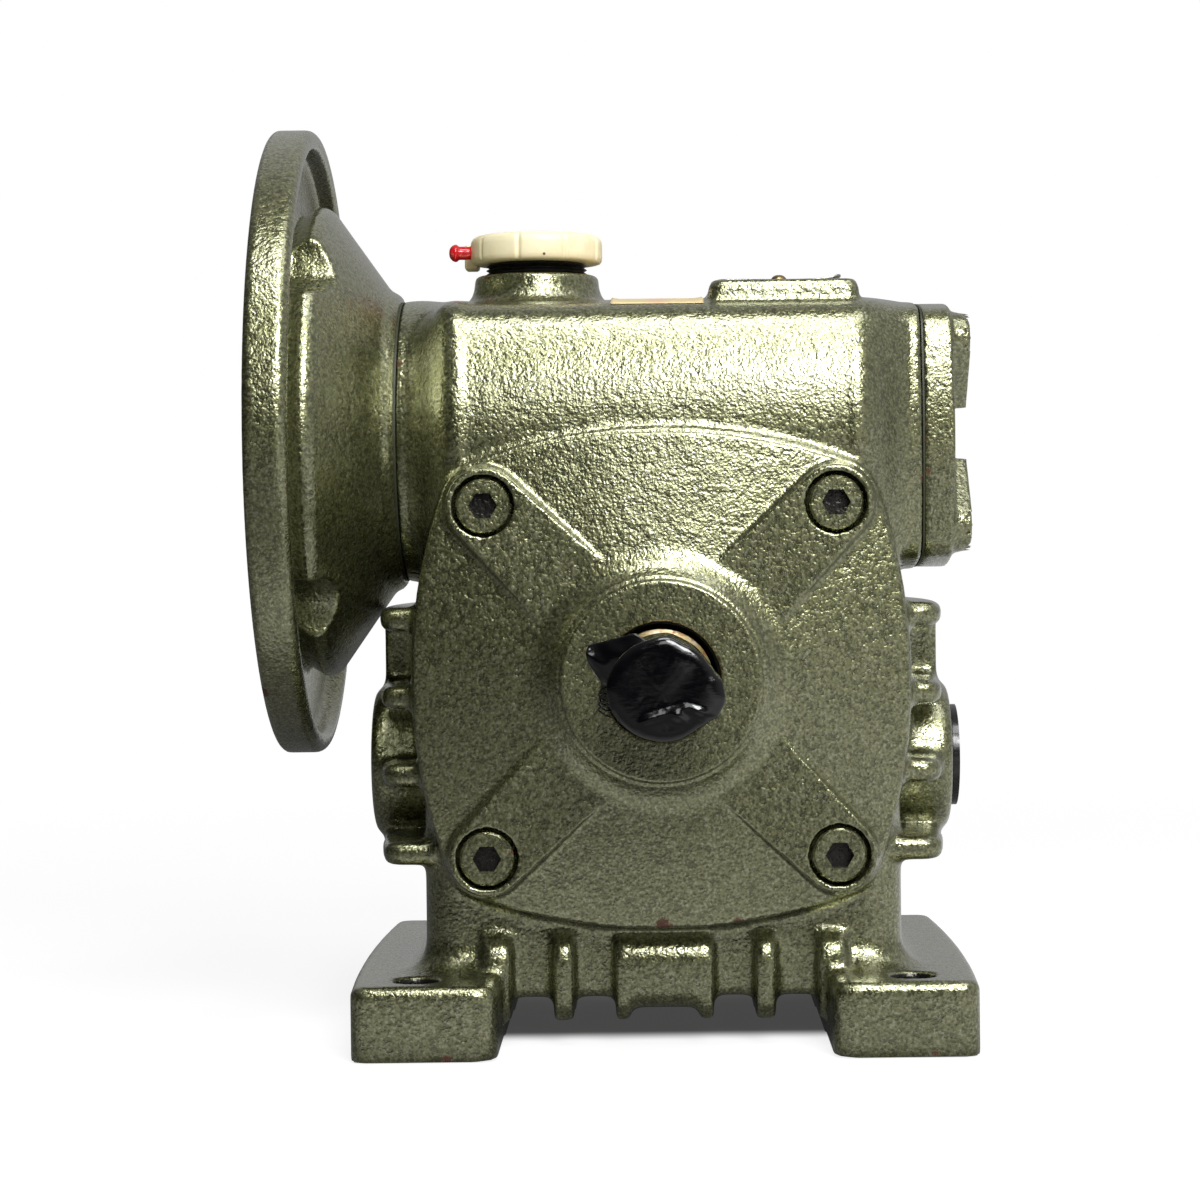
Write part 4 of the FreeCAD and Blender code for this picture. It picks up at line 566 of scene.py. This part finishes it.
def grid_mesh(name, rows, closed=True, cap_start=False, cap_end=False):
    """Mesh through rows of points; closed joins each row's end to its start."""
    work = bmesh.new()
    rings = [[work.verts.new(p) for p in row] for row in rows]
    for low, high in zip(rings, rings[1:]):
        count = len(low)
        for i in range(count if closed else count - 1):
            j = (i + 1) % count
            work.faces.new((low[i], low[j], high[j], high[i]))
    for wanted, ring in ((cap_start, rings[0]), (cap_end, rings[-1])):
        if wanted:
            centre = work.verts.new(sum((v.co for v in ring), Vector()) / len(ring))
            for i in range(len(ring)):
                work.faces.new((ring[i], ring[(i + 1) % len(ring)], centre))
    bmesh.ops.recalc_face_normals(work, faces=work.faces)
    mesh = bpy.data.meshes.new(name)
    work.to_mesh(mesh)
    work.free()
    obj = link(mesh, name)
    smooth_shade(obj)
    return obj


def joined(name, pieces):
    """One object from several meshes with the same materials."""
    work = bmesh.new()
    for piece in pieces:
        work.from_mesh(piece.data)
    mesh = pieces[0].data.copy()
    mesh.name = name
    work.to_mesh(mesh)
    work.free()
    for piece in pieces:
        bpy.data.objects.remove(piece)
    obj = link(mesh, name)
    smooth_shade(obj)
    return obj


# Oil cap, mm above its seat and from its axis
CAP_SEAT_Z = 195.4
CAP_PROFILE = (
    (9.5, 0.0), (15.6, 0.0), (16.5, 0.15), (16.9, 0.7), (17.0, 1.6), (17.0, 3.0), (17.0, 4.6),
    (16.85, 5.7), (16.3, 6.6), (15.3, 7.1), (13.8, 7.25), (11.2, 7.2), (10.4, 7.3), (9.9, 7.55),
    (9.0, 7.7), (5.0, 7.85))
# Grooves in the cap's side wall: angle in degrees from +X to +Y, depth in mm
CAP_GROOVES = (
    (-143.7, 0.20), (-103.7, 0.60), (-62.7, 0.45), (-22.7, 0.45), (17.3, 0.60), (57.3, 0.60),
    (97.3, 0.60), (137.3, 0.60))
CAP_GROOVE_HALF = math.radians(1.7)
CAP_GROOVE_TOP = 7.4
CAP_STEPS = 360
# Shank below the cap, mm from its axis and above the cap's seat
SHANK_PROFILE = ((8.6, -13.0), (9.5, -12.2), (9.7, -4.0), (9.7, 0.5))
SHANK_STEPS = 64


def cap_radius(r, z, angle):
    """Side wall radius with its grooves, which run out on the top rim."""
    valley = 0.0
    for centre, depth in CAP_GROOVES:
        away = wrapped(angle - math.radians(centre))
        valley += depth * math.exp(-(away / CAP_GROOVE_HALF) ** 2)
    fade = clamp((CAP_GROOVE_TOP - z) / 1.2)
    reach = clamp((r - 14.0) / 2.0)
    return r - reach * fade * valley


def oil_cap(material):
    rows = []
    for r, z in CAP_PROFILE:
        row = []
        for i in range(CAP_STEPS):
            angle = turn(i, CAP_STEPS)
            reach = cap_radius(r, z, angle)
            row.append(((CAP_X + reach * math.cos(angle)) * MM, reach * math.sin(angle) * MM,
                        (CAP_SEAT_Z + z) * MM))
        rows.append(row)
    body = grid_mesh("cap_body", rows, True, True, True)
    lug = rounded_block("cap_lug", (CAP_X - 18.7, CAP_X - 15.0), (1.4, 7.6),
                        (CAP_SEAT_Z - 1.0, CAP_SEAT_Z + 5.6), 0.8)
    shank = grid_mesh("cap_shank", [
        [((CAP_X + r * math.cos(a)) * MM, r * math.sin(a) * MM, (CAP_SEAT_Z + z) * MM)
         for a in (turn(i, SHANK_STEPS) for i in range(SHANK_STEPS))]
        for r, z in SHANK_PROFILE], True, True, True)
    obj = joined("oil_cap", [body, lug, shank])
    obj.data.materials.clear()
    obj.data.materials.append(material)
    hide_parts("filler_cap")
    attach(obj, "oil_cap")
    return obj


# Red plug, mm inward from its tip and from its axis
PLUG_TIP_X = -53.4
PLUG_STEM_R = 1.72
PLUG_PROFILE = (
    (0.0, 0.5), (0.1, 1.0), (0.4, 1.55), (0.9, 2.0), (1.5, 2.25), (2.0, 2.2), (2.3, 1.9),
    (2.6, PLUG_STEM_R), (4.0, PLUG_STEM_R))
PLUG_STEPS = 48


def vent_plug(material):
    """Push-in plug with a round head, turned about its own axis along X."""
    low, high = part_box("vent_plug")
    profile = PLUG_PROFILE + ((high.x / MM - PLUG_TIP_X, PLUG_STEM_R),)
    rows = []
    for inward, r in profile:
        row = []
        for i in range(PLUG_STEPS):
            angle = turn(i, PLUG_STEPS)
            row.append(((PLUG_TIP_X + inward) * MM, (low.y + high.y) / 2 + r * MM * math.cos(angle),
                        (low.z + high.z) / 2 + r * MM * math.sin(angle)))
        rows.append(row)
    obj = grid_mesh("red_plug", rows, True, True, True)
    obj.data.materials.append(material)
    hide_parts("vent_plug")
    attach(obj, "vent")
    return obj


def rounded_block(name, xs, ys, zs, radius):
    """Block between the given limits in mm, with its edges rounded."""
    work = bmesh.new()
    bmesh.ops.create_cube(work, size=1.0)
    size = (xs[1] - xs[0], ys[1] - ys[0], zs[1] - zs[0])
    centre = ((xs[0] + xs[1]) / 2, (ys[0] + ys[1]) / 2, (zs[0] + zs[1]) / 2)
    for vert in work.verts:
        vert.co = Vector([(c + v * s) * MM for c, v, s in zip(centre, vert.co, size)])
    bmesh.ops.bevel(work, geom=work.edges[:], offset=radius * MM, segments=3, affect="EDGES",
                    profile=0.5)
    mesh = bpy.data.meshes.new(name)
    work.to_mesh(mesh)
    work.free()
    return link(mesh, name)


# Tape on the shaft, mm: s runs out along the shaft, the angle turns from +X to +Z
TAPE_BACK = 66.0
TAPE_END = 112.7
TAPE_RIM = TAPE_END - 1.0
TAPE_R = 11.45
TAPE_INNER_R = 11.02
TAPE_STEPS = 168
TAPE_RINGS = 40
TAPE_END_RINGS = 12
# Rounded rim: mm inward from the outline and out from the end
TAPE_RIM_PROFILE = ((0.35, -0.62), (0.9, -0.3), (1.7, -0.08))
TAPE_FACE_SET = 1.7
# Outline near the end: angle in degrees, radius in mm
TAPE_OUTLINE = (
    (-168.0, 12.0), (-150.0, 11.6), (-128.0, 11.3), (-103.5, 11.1), (-78.0, 11.2), (-49.7, 11.3),
    (-35.0, 12.1), (-23.6, 13.6), (-8.5, 14.2), (7.0, 13.6), (20.0, 12.4), (32.0, 11.9),
    (62.0, 11.7), (83.0, 12.3), (110.0, 11.9), (150.0, 12.0), (174.0, 12.4))


def tape_outline(angle):
    """Radius of the wrapped tape near its end, from the outline's bends."""
    degrees = math.degrees(wrapped(angle))
    marks = [(a - 360.0, r) for a, r in TAPE_OUTLINE[-1:]] + list(TAPE_OUTLINE)
    marks += [(a + 360.0, r) for a, r in TAPE_OUTLINE[:1]]
    for (a0, r0), (a1, r1) in zip(marks, marks[1:]):
        if a0 <= degrees <= a1:
            share = (degrees - a0) / (a1 - a0)
            share = share * share * (3 - 2 * share)
            return r0 + (r1 - r0) * share
    return TAPE_R


def tape_reach(angle, s):
    """Radius of the wrapped tape: its outline near the end, tight and creased towards the cover."""
    behind = clamp((s - TAPE_BACK) / 16.0)
    r = TAPE_R + (tape_outline(angle) - TAPE_R) * (0.15 + 0.85 * behind)
    crease = noise.noise(Vector((math.cos(angle) * 1.7, math.sin(angle) * 1.7, s * 0.16)))
    fine = noise.noise(Vector((math.cos(angle) * 5.0, math.sin(angle) * 5.0, s * 0.45 + 9.0)))
    wind = abs(((s - TAPE_BACK + angle * 1.9) % 12.0) / 12.0 - 0.5)
    return r + 0.20 * crease + 0.12 * fine + 0.16 * wind


def wrapped(angle):
    return (angle + math.pi) % (2 * math.pi) - math.pi


def tape_point(r, angle, s):
    return (r * math.cos(angle) * MM, -s * MM, (OUTPUT_Z + r * math.sin(angle)) * MM)


def tape_wrap():
    """Wrapped sleeve with a rounded end and a nearly flat, creased end face."""
    angles = [turn(i, TAPE_STEPS) for i in range(TAPE_STEPS)]
    rows = [[tape_point(TAPE_INNER_R, angle, TAPE_BACK + 0.4) for angle in angles]]
    for k in range(TAPE_RINGS):
        s = TAPE_BACK + (TAPE_RIM - TAPE_BACK) * k / (TAPE_RINGS - 1)
        rows.append([tape_point(tape_reach(angle, s), angle, s) for angle in angles])
    for inward, out in TAPE_RIM_PROFILE:
        rows.append([tape_point(tape_reach(angle, TAPE_RIM) - inward, angle, TAPE_END + out)
                     for angle in angles])
    for k in range(1, TAPE_END_RINGS):
        share = 1.0 - k / TAPE_END_RINGS
        row = []
        for angle in angles:
            r = (tape_reach(angle, TAPE_RIM) - TAPE_FACE_SET) * share
            relief = end_relief(r * math.cos(angle), r * math.sin(angle))
            row.append(tape_point(r, angle, TAPE_END + relief))
        rows.append(row)
    return grid_mesh("tape_wrap", rows, True, False, True)


def end_relief(x, z):
    """Height of the creased end face, mm: a pinched pleat low on the right and shallow dimples."""
    pleat = 0.55 * math.exp(-((z + 5.2 - 0.28 * x) / 0.9) ** 2) * clamp((6.5 - abs(x - 1.0)) / 2.0)
    corner = 0.8 * math.exp(-(((x - 3.6) / 1.3) ** 2 + ((z + 5.6) / 0.9) ** 2))
    second = 0.7 * math.exp(-(((x - 8.0) / 1.1) ** 2 + ((z + 4.2) / 0.7) ** 2))
    soft = 0.16 * noise.noise(Vector((x * 0.16, z * 0.16, 4.0)))
    fine = 0.03 * noise.noise(Vector((x * 0.9, z * 0.9, 2.0)))
    return pleat + corner + second + soft + fine


# Upper and lower edge of the tape's loose end, x and z in mm from the shaft's axis, and how far
# out along the shaft it stands
FLAP_TOP = ((-2.6, 10.9), (-5.9, 13.0), (-9.5, 12.1), (-13.2, 11.2), (-16.5, 10.3))
FLAP_LOW = ((-3.0, 7.0), (-6.2, 4.4), (-9.4, 1.6), (-12.9, 1.0), (-16.4, 6.3))
FLAP_COLUMNS = 16
FLAP_LINES = 12
FLAP_S = 107.5
FLAP_LEAN = 3.0


def along(points, t):
    """Point of a broken line at t, counted in its legs."""
    n = min(int(t), len(points) - 2)
    return [a + (b - a) * (t - n) for a, b in zip(points[n], points[n + 1])]


def tape_flap():
    """Loose end of the tape, a stiff strip that stands off to the left."""
    rows = []
    for k in range(FLAP_LINES + 1):
        share = k / FLAP_LINES
        row = []
        for c in range(FLAP_COLUMNS + 1):
            t = c / FLAP_COLUMNS * (len(FLAP_TOP) - 1)
            x, z = [a + (b - a) * share for a, b in zip(along(FLAP_TOP, t), along(FLAP_LOW, t))]
            bulge = 1.4 * math.sin(share * math.pi) * (0.4 + 0.6 * c / FLAP_COLUMNS)
            if c == FLAP_COLUMNS:
                x -= 0.5 * math.sin(share * math.pi)
            crease = 0.4 * noise.noise(Vector((x * 0.3, z * 0.3, 1.0)))
            depth = FLAP_S - FLAP_LEAN * c / FLAP_COLUMNS + bulge + crease
            row.append((x * MM, -depth * MM, (OUTPUT_Z + z) * MM))
        rows.append(row)
    obj = grid_mesh("tape_flap", rows, False)
    thicken(obj, 0.35)
    soft = obj.modifiers.new("soft", "SUBSURF")
    soft.levels = 1
    soft.render_levels = 1
    return apply_modifiers(obj)


# Threads of tape glue: how many, points and radius of each
THREADS = 5
THREAD_POINTS = 7
THREAD_R = 0.22
THREAD_SEED = 7


def tape_threads():
    """Pulled threads of tape glue below the loose end."""
    rng = random.Random(THREAD_SEED)
    curve = bpy.data.curves.new("tape_threads", "CURVE")
    curve.dimensions = "3D"
    curve.bevel_depth = THREAD_R * MM
    curve.bevel_resolution = 2
    for k in range(THREADS):
        spline = curve.splines.new("NURBS")
        spline.points.add(THREAD_POINTS - 1)
        start = Vector((-11.6, 104.0 + 0.8 * k, 1.6 - 1.1 * k))
        for i in range(THREAD_POINTS):
            t = i / (THREAD_POINTS - 1)
            swing = math.sin(t * math.pi)
            x = start.x - swing * (2.2 + 0.8 * rng.random())
            s = start.y - 1.5 * t + rng.uniform(-0.4, 0.4)
            z = start.z - 3.0 * t + rng.uniform(-0.5, 0.5)
            spline.points[i].co = (x * MM, -s * MM, (OUTPUT_Z + z) * MM, 1.0)
        spline.use_endpoint_u = True
        spline.order_u = 4
    obj = link(bpy.data.objects.new("tape_threads", curve))
    graph = bpy.context.evaluated_depsgraph_get()
    mesh = bpy.data.meshes.new_from_object(obj.evaluated_get(graph))
    bpy.data.objects.remove(obj)
    made = link(mesh, "tape_threads")
    smooth_shade(made)
    return made


def shaft_tape(material):
    for obj in (tape_wrap(), tape_flap(), tape_threads()):
        obj.data.materials.clear()
        obj.data.materials.append(material)
        if obj.name == "tape_wrap":
            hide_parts("shaft_tape")
        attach(obj, "output_rotor")


# Sticker on the casing's top, mm: half its width, its front and back edge, its thickness, its
# height over the paint and the curl of its sides
LABEL_HALF_X = 11.5
LABEL_Y = (-34.0, 4.0)
LABEL_THICK = 0.12
LABEL_GAP = 0.14
LABEL_CURL = 0.35
SHEET_LINES = 40


def label(casting, material):
    """Blank sticker laid on the crowned top between the filler boss and the nameplate pad."""
    tree = BVHTree.FromObject(casting, bpy.context.evaluated_depsgraph_get())
    columns = 24
    rows = []
    for k in range(SHEET_LINES + 1):
        row = []
        y = LABEL_Y[0] + (LABEL_Y[1] - LABEL_Y[0]) * k / SHEET_LINES
        for c in range(columns + 1):
            x = -LABEL_HALF_X + 2 * LABEL_HALF_X * c / columns
            hit = tree.ray_cast(Vector((x * MM, y * MM, 0.25)), Vector((0, 0, -1)))[0]
            side = max(0.0, (abs(x) / LABEL_HALF_X - 0.8) / 0.2)
            lift = LABEL_GAP + LABEL_CURL * side * (0.5 + 0.5 * math.sin(y * 0.4))
            row.append((x * MM, y * MM, hit.z + lift * MM))
        rows.append(row)
    obj = grid_mesh("blank_label", rows, False)
    thicken(obj, LABEL_THICK)
    apply_modifiers(obj)
    obj.data.materials.append(material)
    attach(obj, "housing")
    return obj


# Nameplate, mm: corner radius, thickness, width and height of its sprung right edge
PLATE_CORNER = 2.5
PLATE_THICK = 0.45
PLATE_SPRUNG = 9.0
PLATE_RISE = 1.1


def plate(material):
    """Thin metal plate, flat at its two rivets and sprung up a little at its right edge."""
    low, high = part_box("nameplate")
    corner = PLATE_CORNER * MM
    columns = 30
    rows = []
    for k in range(SHEET_LINES + 1):
        y = low.y + (high.y - low.y) * k / SHEET_LINES
        row = []
        for c in range(columns + 1):
            x = low.x + (high.x - low.x) * c / columns
            ex = min(x - low.x, high.x - x)
            ey = min(y - low.y, high.y - y)
            px, py = x, y
            if ex < corner and ey < corner:
                away = Vector((corner - ex, corner - ey))
                if away.length > corner:
                    away = away * (corner / away.length)
                left = x < (low.x + high.x) / 2
                near = y < (low.y + high.y) / 2
                px = low.x + corner - away.x if left else high.x - corner + away.x
                py = low.y + corner - away.y if near else high.y - corner + away.y
            sprung = max(0.0, (x - high.x + PLATE_SPRUNG * MM) / (PLATE_SPRUNG * MM))
            rise = sprung ** 2 * PLATE_RISE * MM
            wave = 0.12 * MM * noise.noise(Vector((x * 60, y * 60, 0.3)))
            row.append((px, py, low.z + 0.25 * MM + rise + wave))
        rows.append(row)
    obj = grid_mesh("bent_plate", rows, False)
    thicken(obj, PLATE_THICK)
    apply_modifiers(obj)
    obj.data.materials.append(material)
    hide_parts("nameplate")
    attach(obj, "housing")
    return obj


# Painted castings: node, material, rust, mask of the painted shade in sockets and holes, mesh size
# in mm and rounds of easing
CASTINGS = (
    ("casing", "paint_casing", CASING_RUST, foot_hole_shade_mask, 0.8, 4),
    ("front_cover", "paint_cover", COVER_RUST, None, 0.5, 3),
    ("rear_cover", "paint_rear", (), None, 0.6, 3),
    ("end_cover", "paint_end", END_RUST, None, 0.5, 3),
    ("motor_flange", "paint_flange", FLANGE_RUST, None, 0.7, 3))


def castings():
    """Skins of all the castings, by node."""
    made = {}
    for node, paint, spots, mask, voxel_mm, rounds in CASTINGS:
        made[node] = cast_skin(node, hammertone(paint, spots, mask), voxel_mm, rounds)
    boss_step(made["front_cover"])
    boss_step(made["rear_cover"])
    return made


# Floor as the camera sees it: how much it glows in the open, and how much less under the belly,
# which paints a shadow there
FLOOR_LIFT = 0.84
FLOOR_SHADOW_UNDER = -0.78
FLOOR_DULL = 0.72
# Floor as the object sees it: grey, glowing to the right and in front of the feet
FLOOR_GREY = (0.14, 0.14, 0.14)
FLOOR_RIGHT = (0.02, 0.50)
FLOOR_FRONT = 0.46


def floor():
    """Pale floor that fades to the white backdrop away from the object, with a painted shadow under
    the belly.
    """
    work = bmesh.new()
    bmesh.ops.create_grid(work, x_segments=8, y_segments=8, size=6.0)
    mesh = bpy.data.meshes.new("floor")
    work.to_mesh(mesh)
    work.free()
    obj = link(mesh, "floor")
    obj.location = (0, 0, -0.0002)
    material, tree = new_material("floor_white")
    place = object_place(tree)
    away = add(tree, "ShaderNodeVectorMath", {0: place}, operation="LENGTH").outputs["Value"]
    fade = smooth_range(tree, away, 0.22, 0.75)
    speck = noise_value(tree, place, 30.0, 2.0)
    tone = mix_color(tree, speck, (0.80, 0.80, 0.80), (0.83, 0.83, 0.83))
    shade = mix_color(tree, FLOOR_DULL, tone, (0, 0, 0))
    diffuse = add(tree, "ShaderNodeBsdfDiffuse", {"Color": shade})
    parts = axes(tree, place)
    right = smooth_range(tree, parts["X"], 0.05, 0.15, *FLOOR_RIGHT)
    front = smooth_range(tree, parts["Y"], -0.066, -0.085, 0.0, FLOOR_FRONT)
    front = math_node(tree, "MULTIPLY", front, smooth_range(tree, parts["Y"], -0.25, -0.12))
    front = math_node(tree, "MULTIPLY", front, smooth_range(tree, parts["X"], -0.18, -0.08))
    grey = add(tree, "ShaderNodeBsdfDiffuse", {"Color": rgba(FLOOR_GREY)})
    glow = emission(tree, math_node(tree, "MAXIMUM", right, front))
    mirrored = add(tree, "ShaderNodeAddShader", {0: grey.outputs[0], 1: glow})
    # Painted shadow: the floor the camera sees glows less in a box under the belly
    shade_x = smooth_range(tree, math_node(tree, "ABSOLUTE", parts["X"]), 0.078, 0.050)
    shade_front = smooth_range(tree, parts["Y"], -0.036, -0.020)
    shade_back = smooth_range(tree, parts["Y"], 0.080, 0.055)
    shade_y = math_node(tree, "MULTIPLY", shade_front, shade_back)
    painted_shadow = math_node(tree, "MULTIPLY", shade_x, shade_y)
    lift = emission(tree, math_node(tree, "MULTIPLY_ADD", painted_shadow, FLOOR_SHADOW_UNDER, FLOOR_LIFT))
    both = add(tree, "ShaderNodeAddShader", {0: diffuse.outputs[0], 1: lift})
    seen = add(tree, "ShaderNodeLightPath")
    near = add(tree, "ShaderNodeMixShader", {0: fade, 1: both.outputs[0], 2: emission(tree, 1.0)})
    final = add(tree, "ShaderNodeMixShader", {
        0: seen.outputs["Is Camera Ray"], 1: mirrored.outputs[0], 2: near.outputs[0]})
    add(tree, "ShaderNodeOutputMaterial", {"Surface": final.outputs[0]})
    obj.data.materials.append(material)


# Surroundings as the object sees them: behind it, to its right, above it and all round, and the
# share of the back's light that the left keeps
WORLD_BEHIND = 0.36
WORLD_RIGHT = 0.36
WORLD_ABOVE = 0.12
WORLD_ROUND = 0.012
WORLD_LEFT = 0.12


def world():
    """White to the camera; for light and gloss bright behind, right and above, dim elsewhere."""
    scene_world = bpy.data.worlds.new("studio")
    bpy.context.scene.world = scene_world
    scene_world.use_nodes = True
    tree = scene_world.node_tree
    tree.nodes.clear()
    direction = add(tree, "ShaderNodeTexCoord").outputs["Generated"]
    parts = axes(tree, direction)
    behind = smooth_range(tree, parts["Y"], -0.10, 0.60, 0.0, WORLD_BEHIND)
    left = smooth_range(tree, parts["X"], -0.75, -0.15, WORLD_LEFT, 1.0)
    behind = math_node(tree, "MULTIPLY", behind, left)
    right = smooth_range(tree, parts["X"], 0.10, 0.90, 0.0, WORLD_RIGHT)
    above = smooth_range(tree, parts["Z"], 0.2, 0.9, 0.0, WORLD_ABOVE)
    level = math_node(tree, "ADD", math_node(tree, "MAXIMUM", behind, right), above)
    level = math_node(tree, "ADD", level, WORLD_ROUND)
    seen = add(tree, "ShaderNodeLightPath")
    strength = add(tree, "ShaderNodeMix", {0: seen.outputs["Is Camera Ray"], 2: level, 3: 1.0},
                   data_type="FLOAT")
    back = add(tree, "ShaderNodeBackground", {
        "Color": rgba(WHITE), "Strength": strength.outputs[0]})
    add(tree, "ShaderNodeOutputWorld", {"Surface": back.outputs[0]})


# Lamps that all look at one place: name, place and size in metres, power in watts
LAMP_TARGET = (0.0, -0.02, 0.12)
LAMPS = (
    ("key", (0.30, -0.92, 0.78), (0.46, 0.34), 8.4),
    ("top_front", (0.03, -0.56, 1.13), (0.50, 0.40), 5.2),
    ("top_right", (0.47, -0.29, 1.13), (0.45, 0.45), 1.6),
    ("front_upper", (0.145, -1.04, 0.62), (0.50, 0.36), 2.2))


def area_light(name, place, size, power):
    data = bpy.data.lights.new(name, "AREA")
    data.shape = "RECTANGLE"
    data.size = size[0]
    data.size_y = size[1]
    data.energy = power
    obj = link(bpy.data.objects.new(name, data))
    obj.location = place
    obj.rotation_euler = (Vector(LAMP_TARGET) - Vector(place)).to_track_quat("-Z", "Y").to_euler()


def lights():
    for lamp in LAMPS:
        area_light(*lamp)


def camera():
    data = bpy.data.cameras.new("photo_camera")
    data.sensor_width = SENSOR
    data.lens = SENSOR * CAMERA_FOCAL / IMAGE
    data.shift_x = -(CAMERA_CENTRE[0] - IMAGE / 2) / IMAGE
    data.shift_y = (CAMERA_CENTRE[1] - IMAGE / 2) / IMAGE
    obj = link(bpy.data.objects.new("photo_camera", data))
    obj.location = [c * MM for c in CAMERA_PLACE]
    cp = math.cos(CAMERA_PITCH)
    sp = math.sin(CAMERA_PITCH)
    forward = Vector((0, cp, -sp))
    right = Vector((1, 0, 0))
    up = right.cross(forward)
    cr = math.cos(CAMERA_ROLL)
    sr = math.sin(CAMERA_ROLL)
    right_rolled = cr * right + sr * up
    up_rolled = cr * up - sr * right
    axes_seen = Matrix((right_rolled, up_rolled, -forward)).transposed()
    obj.rotation_euler = axes_seen.to_euler()
    bpy.context.scene.camera = obj


camera()
world()
lights()
floor()
slot_materials = node_materials()
dress_nodes(slot_materials)
cast = castings()
oil_cap(slot_materials["cream_plastic"])
vent_plug(slot_materials["red_plastic"])
shaft_tape(slot_materials["black_tape"])
label(cast["casing"], paper())
plate(slot_materials["plate_metal"])

bpy.context.scene.view_settings.view_transform = "Standard"
